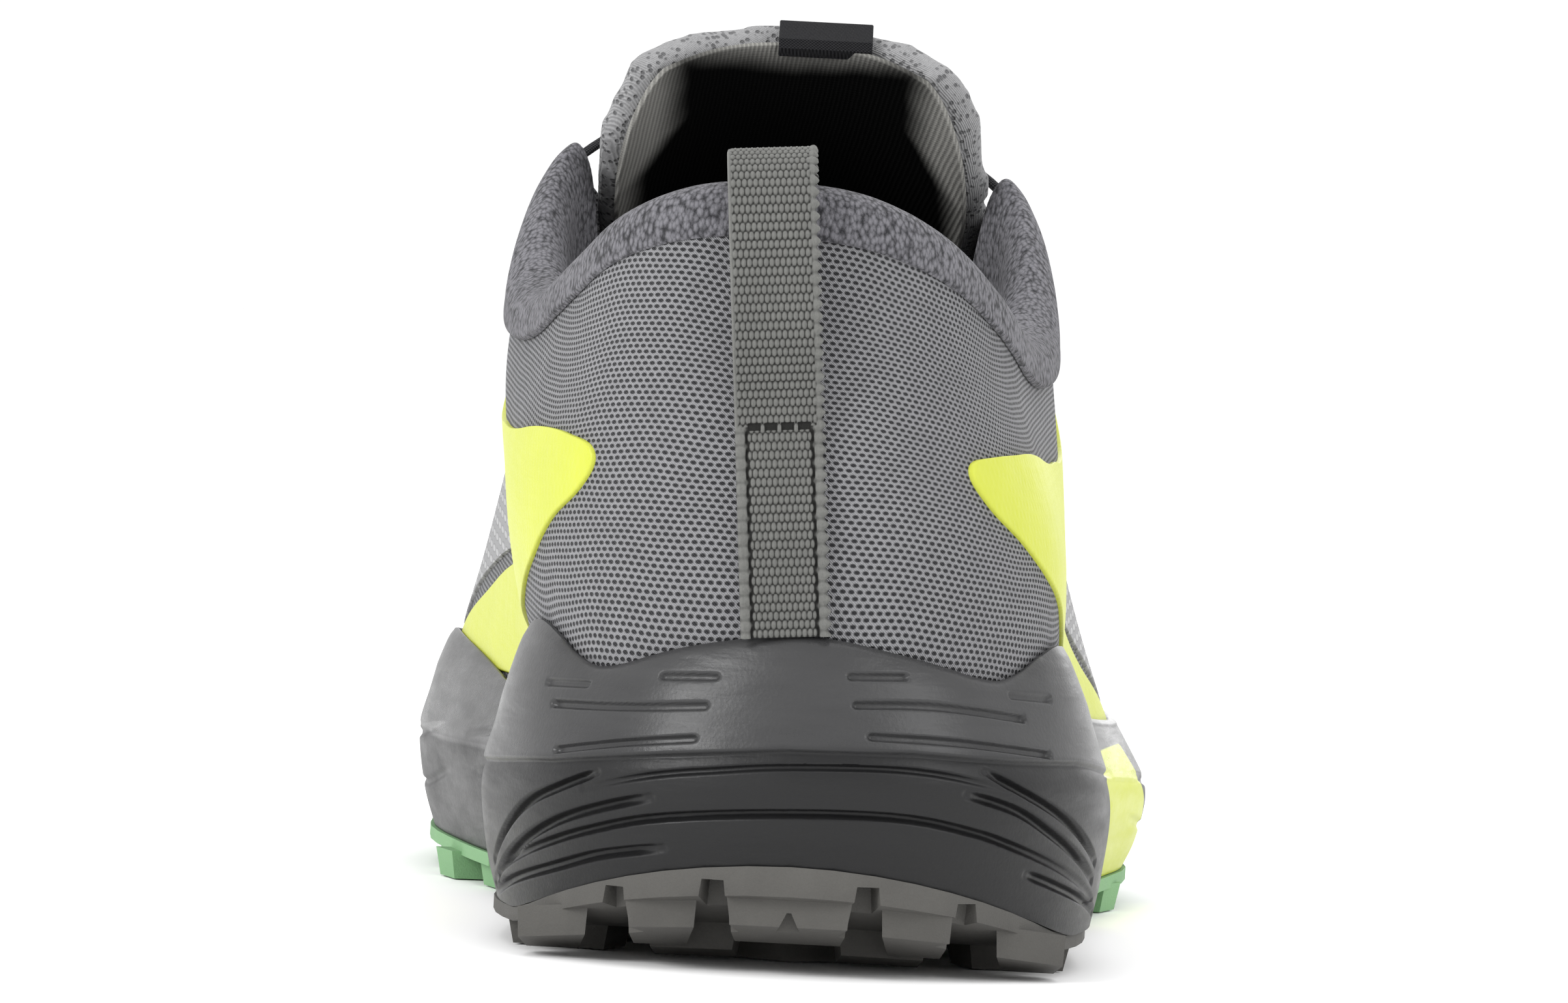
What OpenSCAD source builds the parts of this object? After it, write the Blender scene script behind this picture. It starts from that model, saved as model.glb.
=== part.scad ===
// Trail running shoe, right foot, as an assembly of its separate pieces.
// +X is the outer (lateral) side, +Y points to the toe, +Z is up, millimetres.
// Inside this file lengths run from the back of the heel (y = 0); place() centres the finished shoe.

/* [Sole] */
// Length of the sole from heel to toe
shoe_length = 296; // [285:1:305]
// Height of a tread lug below its rubber sheet
lug_height = 3.5; // [3:0.1:4.5]
// Rise of the heel bevel for each millimetre of its length
bevel_slope = 0.25; // [0.2:0.01:0.3]

/* [Upper] */
// Thickness of the outer mesh
mesh_thick = 1.0; // [0.8:0.1:1.2]
// Thickness of the bonded overlays
film_thick = 0.8; // [0.6:0.1:1]
// Width of the heel pull tab's webbing
tab_width = 11.8; // [10:0.1:14]

/* [Lacing] */
// Diameter of the lace cord
cord_d = 1.6; // [1.4:0.1:2]
// Travel of the lock's button
button_travel = 1.5; // [1:0.1:1.8]

/* [Hidden] */

gap = 0.3;                // clearance between layers that touch on the real shoe
seam = 0.12;              // clearance between the rubber sheets and the foam they are glued to
film_gap = 0.55;          // clearance under a bonded overlay, which crosses the mesh's facets
steps = 3;                // points in each span of the outline
spans = 24;               // control rows round the shoe: 0 heel, 6 outer side, 12 toe, 18 inner side
ring_n = spans * steps;
toe_row = 12;
bevel_y = 32;             // the heel bevel starts here
spring_y = 208;           // the toe starts to lift here
spring_k = 0.0028;
rubber_thick = 2.0;
length_k = shoe_length / 296;
centre_x = 1.75;
centre_y = shoe_length / 2;

// Sole outline, one row for each control point, from the heel round the outer side:
// x, y, inset of the bottom edge, height of the widest line, height of the top edge, inset of the top edge
sole = [
    [3.5, 0, 3, 27, 44, 4.5], [21, 4, 3, 27, 41.8, 5], [35, 15, 3, 25, 39.2, 5.5], [43.5, 33, 2, 23, 43, 5.5],
    [46.9, 58, 2, 22, 41, 6.5], [46, 95, 3, 20, 36, 5], [47, 125, 3, 18, 32, 4.5], [51.5, 157, 3, 17, 28.5, 5],
    [56.3, 190, 3, 16.5, 27, 5], [53.5, 222, 3, 17, 28, 5], [43, 254, 3, 21, 31, 4.5], [23, 282, 3.5, 28, 35, 4],
    [-8, 296, 4, 33, 38, 3.5],
    [-34, 285, 3.5, 29, 36, 4], [-47.5, 259, 3, 22, 34, 4], [-52.6, 229, 3, 20, 33.5, 4], [-52.8, 201, 3, 20, 34.5, 4],
    [-47, 165, 3, 20, 34.5, 4], [-40, 130, 3, 20, 33.5, 4], [-38, 95, 3, 21, 36, 4], [-39.5, 58, 3, 22, 41, 4],
    [-36, 33, 2.5, 23, 43, 4], [-28, 15, 3, 25, 38.5, 4.5], [-14.5, 4, 3, 27, 41.8, 5]];

// Upper edge of the mesh: round the collar, then along the lace opening. One row for each control point:
// x, y, z, lean of the wall above the sole, and slope of the wall at this edge, in degrees
edge = [
    [-3, 8, 98.5, 78, 90], [10, 10, 97.3, 78, 90], [20.5, 19, 93, 80, 88], [28, 36, 86, 84, 84],
    [33, 58, 79.5, 86, 80], [36, 82, 82.5, 88, 82], [33.5, 101, 95.5, 95, 82], [28, 115, 102.5, 104, 68],
    [22.5, 136, 94.5, 112, 52], [19, 158, 83, 108, 40], [15.5, 178, 72.5, 100, 28], [10, 193, 66, 94, 14],
    [-2, 199, 63.5, 88, 6],
    [-14, 193, 67, 90, 14], [-19.5, 178, 74, 96, 28], [-23, 158, 85, 106, 40], [-26.5, 136, 96.5, 105, 52],
    [-31.5, 115, 104, 96, 68], [-36.5, 101, 98, 88, 81], [-39, 82, 85.5, 80, 82], [-35.5, 58, 82.5, 74, 80],
    [-30, 36, 88, 74, 84], [-24, 19, 94, 76, 88], [-15, 10, 97.5, 78, 90]];

// ---------- splines and surfaces ----------

function row(t, i) = t[((i % len(t)) + len(t)) % len(t)];
function blend4(a, b, c, d, u) =
    0.5 * (2 * b + (c - a) * u + (2 * a - 5 * b + 4 * c - d) * u * u + (3 * b - a - 3 * c + d) * u * u * u);
function round_at(t, s) = let (i = floor(s))
    blend4(row(t, i - 1), row(t, i), row(t, i + 1), row(t, i + 2), s - i);
function held(t, i) = t[max(0, min(len(t) - 1, i))];
function along(t, u) = let (w = u * (len(t) - 1), i = min(floor(w), len(t) - 2))
    blend4(held(t, i - 1), held(t, i), held(t, i + 1), held(t, i + 2), w - i);
function ramp(a, b, y) = let (u = max(0, min(1, (y - a) / (b - a)))) u * u * (3 - 2 * u);
function unit(v) = v / max(norm(v), 0.000001);

// Ground clearance of the tread: the heel bevel steepens a little towards the back, the toe lifts in a curve
function bevel(d) = d * bevel_slope * (0.76 + 0.24 * d / bevel_y);
function ground(y) = y < bevel_y ? bevel(bevel_y - y) : y > spring_y ? pow(y - spring_y, 2) * spring_k : 0;
// Heights of the foam's underside and of the footbed
function foam_bottom(y) = ground(y) + lug_height + rubber_thick + 2.5 * pow(max(0, bevel_y - y) / bevel_y, 2);
function footbed(y) = 27 - 8 * ramp(60, 200, y) - 8.5 * ramp(232, 300, y) + (y > spring_y ? ground(y) : 0);

function sole_row(s) = round_at(sole, s);
function out_dir(s) = let (a = sole_row(s - 0.05), b = sole_row(s + 0.05)) unit([b[1] - a[1], a[0] - b[0], 0]);
// A point on the sole's outline, moved in by inset, at height z
function rim(s, inset, z) = let (p = sole_row(s)) [p[0], p[1], 0] - out_dir(s) * inset + [0, 0, z];
function rim_y(s, inset) = rim(s, inset, 0)[1];

// The upper's outer surface: s runs round the shoe, v from the feather edge (0) to the collar or lace edge (1)
cup_share = 0.25;         // share of v that lies inside the midsole's cup
function cup_point(s, u) = let (r = sole_row(s), i = r[5], f = footbed(rim_y(s, i + 7)))
    u < 0.5 ? rim(s, i + 7.3 - 4.8 * (u / 0.5), f + 0.35 + 6 * pow(u / 0.5, 1.6))
    : let (w = (u - 0.5) / 0.5) rim(s, i + 2.5 - 0.6 * w, f + 6.35 + (r[4] - f - 6.35) * w);
function wall_point(s, u) = let (r = sole_row(s), e = round_at(edge, s), n = out_dir(s),
    a = rim(s, r[5] + 1.9, r[4]), d = [e[0], e[1], e[2]], low = max(19, 0.42 * (d[2] - a[2])),
    high = (0.36 - 0.14 * ramp(4.5, 7, min(around(s), spans - around(s)))) * norm(d - a),
    b = a + low * (n * cos(e[3]) + [0, 0, sin(e[3])]),
    c = d + high * (n * cos(e[4]) - [0, 0, sin(e[4])]), w = 1 - u)
    w * w * w * a + 3 * w * w * u * b + 3 * w * u * u * c + u * u * u * d;
function around(s) = s - spans * floor(s / spans);
function skin(s, v) = v < cup_share ? cup_point(s, v / cup_share) : wall_point(s, (v - cup_share) / (1 - cup_share));
function skin_out(s, v) = let (v0 = max(0, v - 0.02), v1 = min(1, v + 0.02))
    unit(cross(skin(s + 0.04, v) - skin(s - 0.04, v), skin(s, v1) - skin(s, v0)));
function layer(s, v, off) = skin(s, v) + skin_out(s, v) * off;

// ---------- solids from grids of points ----------

function solid_tri(p, t) = [for (f = t) if (norm(cross(p[f[1]] - p[f[0]], p[f[2]] - p[f[0]])) > 0.00001) f];
function quad(a, b, c, d) = [[a, b, c], [a, c, d]];

// Two facing grids, m columns by n rows, outer first, joined round their edges into one sheet of foam or cloth
module sheet_between(outer, inner, wrap = false) {
    m = len(outer);
    n = len(outer[0]);
    points = [for (g = [outer, inner], c = g, p = c) p];
    last = wrap ? m - 1 : m - 2;
    faces = concat(
        [for (i = [0:last], j = [0:n - 2]) let (k = (i + 1) % m)
            each quad(i * n + j, i * n + j + 1, k * n + j + 1, k * n + j)],
        [for (i = [0:last], j = [0:n - 2]) let (k = (i + 1) % m, o = m * n)
            each quad(o + i * n + j, o + k * n + j, o + k * n + j + 1, o + i * n + j + 1)],
        [for (i = [0:last]) let (k = (i + 1) % m, o = m * n)
            each concat(quad(i * n, k * n, o + k * n, o + i * n),
                quad(i * n + n - 1, o + i * n + n - 1, o + k * n + n - 1, k * n + n - 1))],
        wrap ? [] : [for (j = [0:n - 2]) let (o = m * n, e = (m - 1) * n)
            each concat(quad(j, o + j, o + j + 1, j + 1), quad(e + j, e + j + 1, o + e + j + 1, o + e + j))]);
    polyhedron(points, solid_tri(points, faces));
}

// Heights on the upper at which its mesh has a ring of points
levels = [0, 0.07, 0.14, 0.24, 0.27, 0.36, 0.46, 0.56, 0.66, 0.77, 0.88, 1];
function stations(s0, s1) = [for (i = [round(s0 * steps):round(s1 * steps)]) i / steps];

// A layer that follows the mesh facet by facet, over a range of control rows and of levels
module band(s0, s1, first, last, off, thick) {
    list = stations(s0, s1);
    sheet_between([for (s = list) [for (k = [first:last]) layer(s, levels[k], off + thick)]],
        [for (s = list) [for (k = [first:last]) layer(s, levels[k], off)]]);
}

// A patch of the upper between two offsets; corners holds [v, s_start, s_end] from its lower to its upper edge
module patch(corners, off, thick, columns) {
    rows = concat([for (i = [0:len(corners) - 2]) each [corners[i], (corners[i] + corners[i + 1]) / 2]],
        [corners[len(corners) - 1]]);
    outer = [for (c = [0:columns]) [for (r = rows) layer(r[1] + (r[2] - r[1]) * c / columns, r[0], off + thick)]];
    inner = [for (c = [0:columns]) [for (r = rows) layer(r[1] + (r[2] - r[1]) * c / columns, r[0], off)]];
    sheet_between(outer, inner);
}

// Rings stacked from below, closed by ladders of cross strips at both ends
module stacked(rings) {
    n = len(rings[0]);
    half = n / 2;
    points = [for (r = rings, p = r) p];
    top = (len(rings) - 1) * n;
    function ladder(o, flip) = [for (i = [0:half - 1]) let (a = i, b = i + 1, c = n - i - 1, d = (n - i) % n)
        each flip ? quad(o + a, o + d, o + c, o + b) : quad(o + a, o + b, o + c, o + d)];
    faces = concat(ladder(0, false), ladder(top, true),
        [for (k = [0:len(rings) - 2], i = [0:n - 1]) let (j = (i + 1) % n)
            each quad(k * n + i, (k + 1) * n + i, (k + 1) * n + j, k * n + j)]);
    polyhedron(points, solid_tri(points, faces));
}

// A slice of a sole sheet from control row s0 to s1, with its own edge inset and bottom and top heights by y
module sole_slice(s0, s1, inset, low, high) {
    count = round((s1 - s0) * steps);
    stations = [for (i = [0:count]) let (s = s0 + (s1 - s0) * i / count, a = rim(s, inset, 0), b = rim(-s, inset, 0))
        [a + [0, 0, high(a[1])], b + [0, 0, high(b[1])], b + [0, 0, low(b[1])], a + [0, 0, low(a[1])]]];
    points = [for (q = stations, p = q) p];
    e = count * 4;
    faces = concat(
        [for (i = [0:count - 1], j = [0, 1, 3]) let (k = (j + 1) % 4, a = i * 4, b = a + 4)
            each quad(a + j, a + k, b + k, b + j)],
        [for (i = [0:count - 1]) let (a = i * 4, b = a + 4) each quad(a + 3, b + 3, b + 2, a + 2)],
        quad(3, 2, 1, 0), quad(e, e + 1, e + 2, e + 3));
    polyhedron(points, solid_tri(points, faces));
}

// A tube swept along a list of points
module sweep(path, r, sides) {
    n = len(path);
    function tangent(i) = unit(path[min(n - 1, i + 1)] - path[max(0, i - 1)]);
    function frames(i, side) = i == n ? [] : let (t = tangent(i), u = unit(side - t * (side * t)))
        concat([[u, cross(t, u)]], frames(i + 1, u));
    f = frames(0, abs(tangent(0)[2]) < 0.9 ? cross(tangent(0), [0, 0, 1]) : [1, 0, 0]);
    points = concat([for (i = [0:n - 1], k = [0:sides - 1]) let (a = 360 * k / sides)
        path[i] + r * (cos(a) * f[i][0] + sin(a) * f[i][1])], [path[0], path[n - 1]]);
    faces = concat(
        [for (i = [0:n - 2], k = [0:sides - 1]) let (j = (k + 1) % sides)
            each quad(i * sides + k, (i + 1) * sides + k, (i + 1) * sides + j, i * sides + j)],
        [for (k = [0:sides - 1]) [n * sides, k, (k + 1) % sides]],
        [for (k = [0:sides - 1]) [n * sides + 1, (n - 1) * sides + (k + 1) % sides, (n - 1) * sides + k]]);
    polyhedron(points, faces);
}

module place() translate([-centre_x, -centre_y, 0]) scale([1, length_k, 1]) children();

// ---------- sole unit ----------

// A tread lug: its outline on the ground, and the same outline a little larger inside the rubber sheet
module lug(outline, root = 1.12) {
    c = [for (k = [0, 1]) [for (p = outline) p[k]] * [for (p = outline) 1] / len(outline)];
    wide = [for (p = outline) c + (p - c) * root];
    n = len(outline);
    low = [for (p = outline) [p[0], p[1], ground(p[1])]];
    high = [for (p = wide) [p[0], p[1], ground(p[1]) + lug_height + 0.6]];
    hull() polyhedron(concat(low, high), concat([[for (i = [0:n - 1]) i]], [[for (i = [0:n - 1]) 2 * n - 1 - i]],
        [for (i = [0:n - 1]) let (j = (i + 1) % n) each [[i, n + i, n + j], [i, n + j, j]]]));
}
module bar_lug(x, y, w, l, turn = 0) {
    c = [for (q = [[-1, -1], [1, -1], [1, 1], [-1, 1]]) let (p = [q[0] * w / 2, q[1] * l / 2])
        [x + p[0] * cos(turn) - p[1] * sin(turn), y + p[0] * sin(turn) + p[1] * cos(turn)]];
    lug(c);
}
// A chevron pointing to the heel (-1) or to the toe (1)
module chevron(x, y, w, l, point) {
    slope = (ground(y + 1) - ground(y - 1)) / 2;
    wing = w * 0.32;
    translate([x, y, ground(y)]) rotate([atan(slope), 0, 0]) linear_extrude(lug_height + 0.6, scale = 1.08)
        polygon([for (q = [[0, 0], [w / 2, -wing], [w / 2, l - wing], [0, l], [-w / 2, l - wing], [-w / 2, -wing]])
            [q[0], q[1] * point]]);
}

rear_blocks = [[-28, 9], [-13.5, 9], [3.5, 16], [20.5, 9], [36, 9]];   // x and width of each block on the bevel

module outsole_heel() color([0.47, 0.46, 0.44]) {
    sheet_low = function (y) ground(y) + lug_height;
    sheet_high = function (y) foam_bottom(y) - seam;
    sole_slice(0, 5.7, 2.6, sheet_low, sheet_high);
    for (b = rear_blocks) {
        back = rim_y(abs(b[0] - 3.5) / 22, 4.5);
        reach = 11 + abs(b[0] - 3.5) * 0.2;
        lug([[b[0] - b[1] / 2, back + pow(abs(b[0] - b[1] / 2 - 3.5) / 13, 2.2)],
            [b[0] + b[1] / 2, back + pow(abs(b[0] + b[1] / 2 - 3.5) / 13, 2.2)],
            [b[0] + b[1] / 2 - 1, back + reach], [b[0] - b[1] / 2 + 1, back + reach]], 1.05);
    }
    for (x = [-9, 16]) bar_lug(x, 26.5, 11, 7, (x - 3.5) * 0.4);
    for (y = [40, 60, 80]) {
        bar_lug(-26, y + 4, 13, 9, -18);
        bar_lug(33.5, y + 4, 13, 9, 18);
        chevron(3.5, y, 26, 7, -1);
    }
    bar_lug(-25, 102, 13, 8, -12);
    bar_lug(34, 102, 13, 8, 12);
    chevron(3.5, 99, 24, 6, -1);
}

module outsole_forefoot() color([0.6, 0.85, 0.68]) {
    sheet_low = function (y) ground(y) + lug_height;
    sheet_high = function (y) foam_bottom(y) - seam;
    sole_slice(6.4, toe_row, 2.4, sheet_low, sheet_high);
    for (y = [150, 168, 186, 204, 222]) {
        shift = y > 200 ? 0 : 1;
        bar_lug(-41 + (y < 160 ? 7 : 0), y + 4, 12, 8.5, 16);
        bar_lug(45 - (y < 160 ? 6 : 0) - (y > 210 ? 4 : 0), y + 4, 12, 8.5, -16);
        chevron(-11, y, 21, 6.5, 1);
        chevron(15 - shift, y + 3, 21, 6.5, 1);
    }
    chevron(-16, 240, 26, 7, 1);
    chevron(12, 241, 22, 7, 1);
    bar_lug(-39, 246, 11, 8, 30);
    bar_lug(33, 246, 11, 8, -34);
    chevron(-9, 258, 26, 7, 1);
    bar_lug(-27, 270, 12, 7, 30);
    bar_lug(11, 271, 12, 7, -26);
    bar_lug(-9, 282, 15, 7, 0);
}

// The midsole's outer wall: k is 0 at its bottom edge, 1 at its widest line and 2 at its top edge
function wall(s, inset_k, k) = let (r = sole_row(s), b = foam_bottom(rim_y(s, r[2])))
    k < 1 ? rim(s, r[2] * inset_k, b + (r[3] - b) * k) : rim(s, r[5] * inset_k, r[3] + (r[4] - r[3]) * (k - 1));
// The inside of its cup, lift above the footbed, and the flat rim at its top
function cup(s, inset, lift) = let (r = sole_row(s)) rim(s, r[5] + inset, footbed(rim_y(s, r[5] + 7)) + lift);
function cup_rim(s, inset) = let (r = sole_row(s)) rim(s, r[5] + inset, r[4]);
module midsole() color([0.27, 0.27, 0.28]) {
    stations = [for (i = [0:ring_n - 1]) i / steps];
    stacked([
        [for (s = stations) wall(s, 1, 0)],
        [for (s = stations) wall(s, 0.4, 0.4)],
        [for (s = stations) wall(s, 0, 0.99)],
        [for (s = stations) wall(s, 0.3, 1.45)],
        [for (s = stations) wall(s, 1, 2)],
        [for (s = stations) cup_rim(s, 1.6)],
        [for (s = stations) cup(s, 2.2, 6)],
        [for (s = stations) cup(s, 4.2, 1.7)],
        [for (s = stations) cup(s, 7, 0)]]);
}

// ---------- inside the shoe ----------

module strobel_board() color([0.86, 0.84, 0.78])
    sole_slice(0, toe_row, 14.2, function (y) footbed(y) + gap, function (y) footbed(y) + gap + 1.2);
module sockliner_foam() color([0.3, 0.5, 0.46])
    sole_slice(0, toe_row, 14, function (y) footbed(y) + 1.9, function (y) footbed(y) + 5.1);
module sockliner_cover() color([0.2, 0.2, 0.21])
    sole_slice(0, toe_row, 14, function (y) footbed(y) + 5.2, function (y) footbed(y) + 6);

// ---------- upper ----------

module upper_mesh() color([0.52, 0.53, 0.55]) {
    list = stations(0, spans - 1 / steps);
    sheet_between([for (s = list) [for (v = levels) layer(s, v, 0)]],
        [for (s = list) [for (v = levels) layer(s, v, -mesh_thick)]], true);
}
module vamp_lining() color([0.4, 0.4, 0.42]) band(7, 17, 2, 10, -mesh_thick - gap - 0.5, 0.5);
module quarter_lining() color([0.25, 0.25, 0.27]) band(-20 / 3, 20 / 3, 2, 8, -3.5, 0.6);
module heel_counter() color([0.85, 0.85, 0.82]) band(-4, 4, 2, 7, -2.6, 1.2);
module toe_cap() color([0.2, 0.2, 0.21]) band(9, 15, 4, 6, film_gap, film_thick);

// The neon overlay: a lobe whose point aims at the heel, a narrow neck, and a band that runs down to the sole
neon_rows = [[0.265, 4.4, 6.3], [0.32, 3.6, 5.5], [0.38, 3.05, 4.5], [0.44, 2.72, 3.85], [0.5, 2.4, 4.0],
    [0.56, 2.0, 4.9], [0.61, 1.8, 5.7], [0.65, 1.95, 6.1], [0.672, 2.6, 6.3], [0.69, 3.1, 6.5], [0.74, 4.6, 6.8]];
function mirrored(rows) = [for (r = rows) [r[0], spans - r[2], spans - r[1]]];
module neon_overlay_lateral() color([0.9, 0.97, 0.25]) patch(neon_rows, film_gap, film_thick, 8);
module neon_overlay_medial() color([0.9, 0.97, 0.25]) patch(mirrored(neon_rows), film_gap, film_thick, 8);

// The light grey overlay in front of the neon one
side_rows = [[0.265, 6.75, 8.6], [0.34, 5.95, 8.3], [0.44, 4.5, 7.9], [0.52, 4.75, 7.6], [0.6, 6.1, 7.4],
    [0.68, 6.85, 7.25]];
module side_overlay_lateral() color([0.62, 0.62, 0.62]) patch(side_rows, film_gap, film_thick, 8);
module side_overlay_medial() color([0.62, 0.62, 0.62]) patch(mirrored(side_rows), film_gap, film_thick, 8);

stay_rows = [[0.8, 7.05, 11], [0.86, 6.95, 11.2], [0.92, 6.9, 11.4], [0.985, 6.85, 11.5]];
module eyestay_lateral() color([0.3, 0.3, 0.31]) patch(stay_rows, film_gap, film_thick, 12);
module eyestay_medial() color([0.3, 0.3, 0.31]) patch(mirrored(stay_rows), film_gap, film_thick, 12);

// ---------- collar ----------

collar_end = 20 / 3;      // the padded collar runs between these control rows, through the heel
// Thickness of the padding: full at the heel and ankles, thin where it meets the lace opening
function pad(s) = 9.5 - 6.3 * ramp(4.2, 6.2, abs(s));
function edge_point(s) = let (e = round_at(edge, s)) [e[0], e[1], e[2]];
function edge_along(s) = unit(edge_point(s + 0.1) - edge_point(s - 0.1));
// A point of the collar's section: how far it is out from the mesh's inner face, and how far above its edge
function collar_point(s, out, up) = let (t = edge_along(s), n = unit(cross(t, [0, 0, 1])), z = unit(cross(n, t)))
    edge_point(s) + n * (out - mesh_thick - gap) + z * up;
// The section from the outer lower edge, over the rolled top, to the inner lower edge, drawn k inside the lining
function collar_section(s, k) = let (w = pad(s)) concat(
    [layer(s, 0.88, -mesh_thick - gap - k), layer(s, 1, -mesh_thick - gap - k)],
    [for (q = [[1 - k, 2.4], [0.4 - k * 0.6, 4.8 - k * 0.8], [-w * 0.28, 6.2 - k], [-w * 0.6, 5.6 - k],
        [-w * 0.88 + k * 0.8, 3.4 - k * 0.8], [-w + k, 0], [-w + k, -6], [-w * 0.85 + k, -12]]) collar_point(s, q[0], q[1])]);
module collar_lining() color([0.33, 0.33, 0.35]) {
    list = stations(-collar_end, collar_end);
    sheet_between([for (s = list) collar_section(s, 0)], [for (s = list) collar_section(s, 0.8)]);
}
module collar_foam() color([0.9, 0.88, 0.8]) {
    list = stations(-collar_end, collar_end);
    rings = [for (s = list) collar_section(s, 1.1)];
    m = len(rings);
    n = len(rings[0]);
    points = [for (r = rings, p = r) p];
    e = (m - 1) * n;
    faces = concat([for (i = [0:m - 2], j = [0:n - 1]) let (k = (j + 1) % n)
            each quad(i * n + j, i * n + k, (i + 1) * n + k, (i + 1) * n + j)],
        [for (j = [1:n - 2]) [0, j + 1, j]], [for (j = [1:n - 2]) [e, e + j, e + j + 1]]);
    polyhedron(points, solid_tri(points, faces));
}

// ---------- tongue ----------

// Centre line of the tongue's outer face from its stitched base to its tip: y, z and half its width
tongue_line = [[203, 58.6, 15], [178, 74, 19.5], [158, 86.5, 23], [137, 99.5, 25.2], [119, 110.5, 25.6],
    [107, 119.3, 24.6], [102, 125.6, 20]];
tongue_steps = 14;
tongue_cols = 8;
function tongue_mid(u) = let (p = along(tongue_line, u)) [-2 - 0.4 * u, p[0], p[1]];
function tongue_up(u) = let (a = tongue_mid(max(0, u - 0.02)), b = tongue_mid(min(1, u + 0.02))) unit(cross(b - a, [1, 0, 0]));
// How far the sides of the arched tongue hang below its middle
function tongue_arch(u) = 8 + 5 * ramp(0, 0.3, u) - 4 * u;
// q runs from the inner edge (-1) to the outer edge (1)
function tongue_point(u, q, off) = let (w = along(tongue_line, u)[2], n = tongue_up(u), k = tongue_arch(u),
    tilt = atan(2.4 * k * pow(abs(q), 1.4) / w) * sign(q))
    tongue_mid(u) + [w * q, 0, 0] - n * k * pow(abs(q), 2.4) + off * ([sin(tilt), 0, 0] + n * cos(tilt));
module tongue_sheet(off, thick, edge_k) {
    us = [for (i = [0:tongue_steps]) 0.5 + (i / tongue_steps - 0.5) * (2 * edge_k - 1)];
    qs = [for (j = [tongue_cols:-1:0]) (2 * j / tongue_cols - 1) * edge_k];
    sheet_between([for (q = qs) [for (u = us) tongue_point(u, q, off)]],
        [for (q = qs) [for (u = us) tongue_point(u, q, off - thick)]]);
}
module tongue_cover() color([0.55, 0.55, 0.56]) tongue_sheet(0, 1.0, 1);
module tongue_foam() color([0.9, 0.88, 0.8]) tongue_sheet(-1.3, 3.0, 0.98);
module tongue_lining() color([0.5, 0.5, 0.49]) tongue_sheet(-4.6, 0.8, 1);

// A folded tape that stands on the tongue's upper edge, with a slot through it
loop_tilt = 38.4;         // the edge's face leans back by this angle
module tongue_loop() color([0.15, 0.15, 0.16])
    translate([2.5, tongue_line[6][0], tongue_line[6][1]]) rotate([90, 0, 90]) rotate(loop_tilt)
        linear_extrude(13.2, center = true) difference() {
            polygon([[-5.2, 0.3], [-0.4, 0.3], [0.3, 2], [-0.5, 3.1], [-4.7, 3.1], [-5.5, 2]]);
            polygon([[-4.4, 1], [-1.2, 1], [-0.6, 1.9], [-0.9, 2.4], [-4.3, 2.4], [-4.7, 1.9]]);
        }

// ---------- heel pull tab ----------

tab_foot = [1.1, 44.9];   // x and z of the middle of its lower end
tab_lean = 4.6;           // it leans to the inner side on its way up
tab_thick = 1.2;
tab_bar = 72.7;           // height of the stitched bar where the finger loop starts
loop_reach = 5.6;         // how far the finger loop stands off the heel
// Middle line of the webbing, as y and z: flat on the heel up to the bar, clear of it, over the collar, down inside
function heel_line(z, off) = let (v = lookup(z, [for (k = [4:11]) [skin(0, levels[k])[2], levels[k]]])) [skin(0, v)[1] - off, z];
tab_flat = gap + tab_thick / 2 + 0.2;
tab_line = concat([for (z = [tab_foot[1], 52, 59, 66, tab_bar]) heel_line(z, tab_flat)],
    [for (k = [0.2, 0.5, 0.75, 1]) heel_line(tab_bar + 24 * k, tab_flat + loop_reach * ramp(0, 0.7, k))],
    [[2.6, 103.5], [5.4, 107.4], [10, 109], [15, 107.6], [18.6, 103.6], [20.3, 98], [20.6, 92]]);
function tab_side(i, d) = let (t = unit(held(tab_line, i + 1) - held(tab_line, i - 1))) tab_line[i] + d * [-t[1], t[0]];
module on_tab() translate([tab_foot[0], 0, tab_foot[1]]) rotate([0, -tab_lean, 0]) translate([0, 0, -tab_foot[1]])
    rotate([90, 0, 90]) children();
module heel_pull_tab() color([0.5, 0.5, 0.48]) on_tab() linear_extrude(tab_width, center = true) {
    last = len(tab_line) - 1;
    polygon(concat([for (i = [0:last]) tab_side(i, tab_thick / 2)], [for (i = [last:-1:0]) tab_side(i, -tab_thick / 2)]));
}

// ---------- lacing ----------

loop_rows = [7.35, 8.2, 9.05, 9.9, 10.7];
loop_v = 0.93;            // the loops sit this far up the wall, just outside the lace opening
sleeve_len = 5;
sleeve_in = cord_d / 2 + 0.55;
sleeve_out = sleeve_in + 0.7;
function sleeve_at(s) = layer(s, loop_v, film_gap + film_thick + gap + sleeve_out);
// Direction of a loop, towards the toe on both sides
function sleeve_dir(s) = unit(skin(s + 0.1, loop_v) - skin(s - 0.1, loop_v)) * (s > toe_row ? -1 : 1);
module lace_loop(s) {
    t = sleeve_dir(s);
    translate(sleeve_at(s)) rotate([0, acos(t[2]), atan2(t[1], t[0])]) difference() {
        cylinder(h = sleeve_len, r = sleeve_out, center = true, $fn = 32);
        cylinder(h = sleeve_len + 2, r = sleeve_in, center = true, $fn = 32);
    }
}
module lace_loops_lateral() color([0.25, 0.25, 0.26]) for (s = loop_rows) lace_loop(s);
module lace_loops_medial() color([0.25, 0.25, 0.26]) for (s = loop_rows) lace_loop(spans - s);

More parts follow.
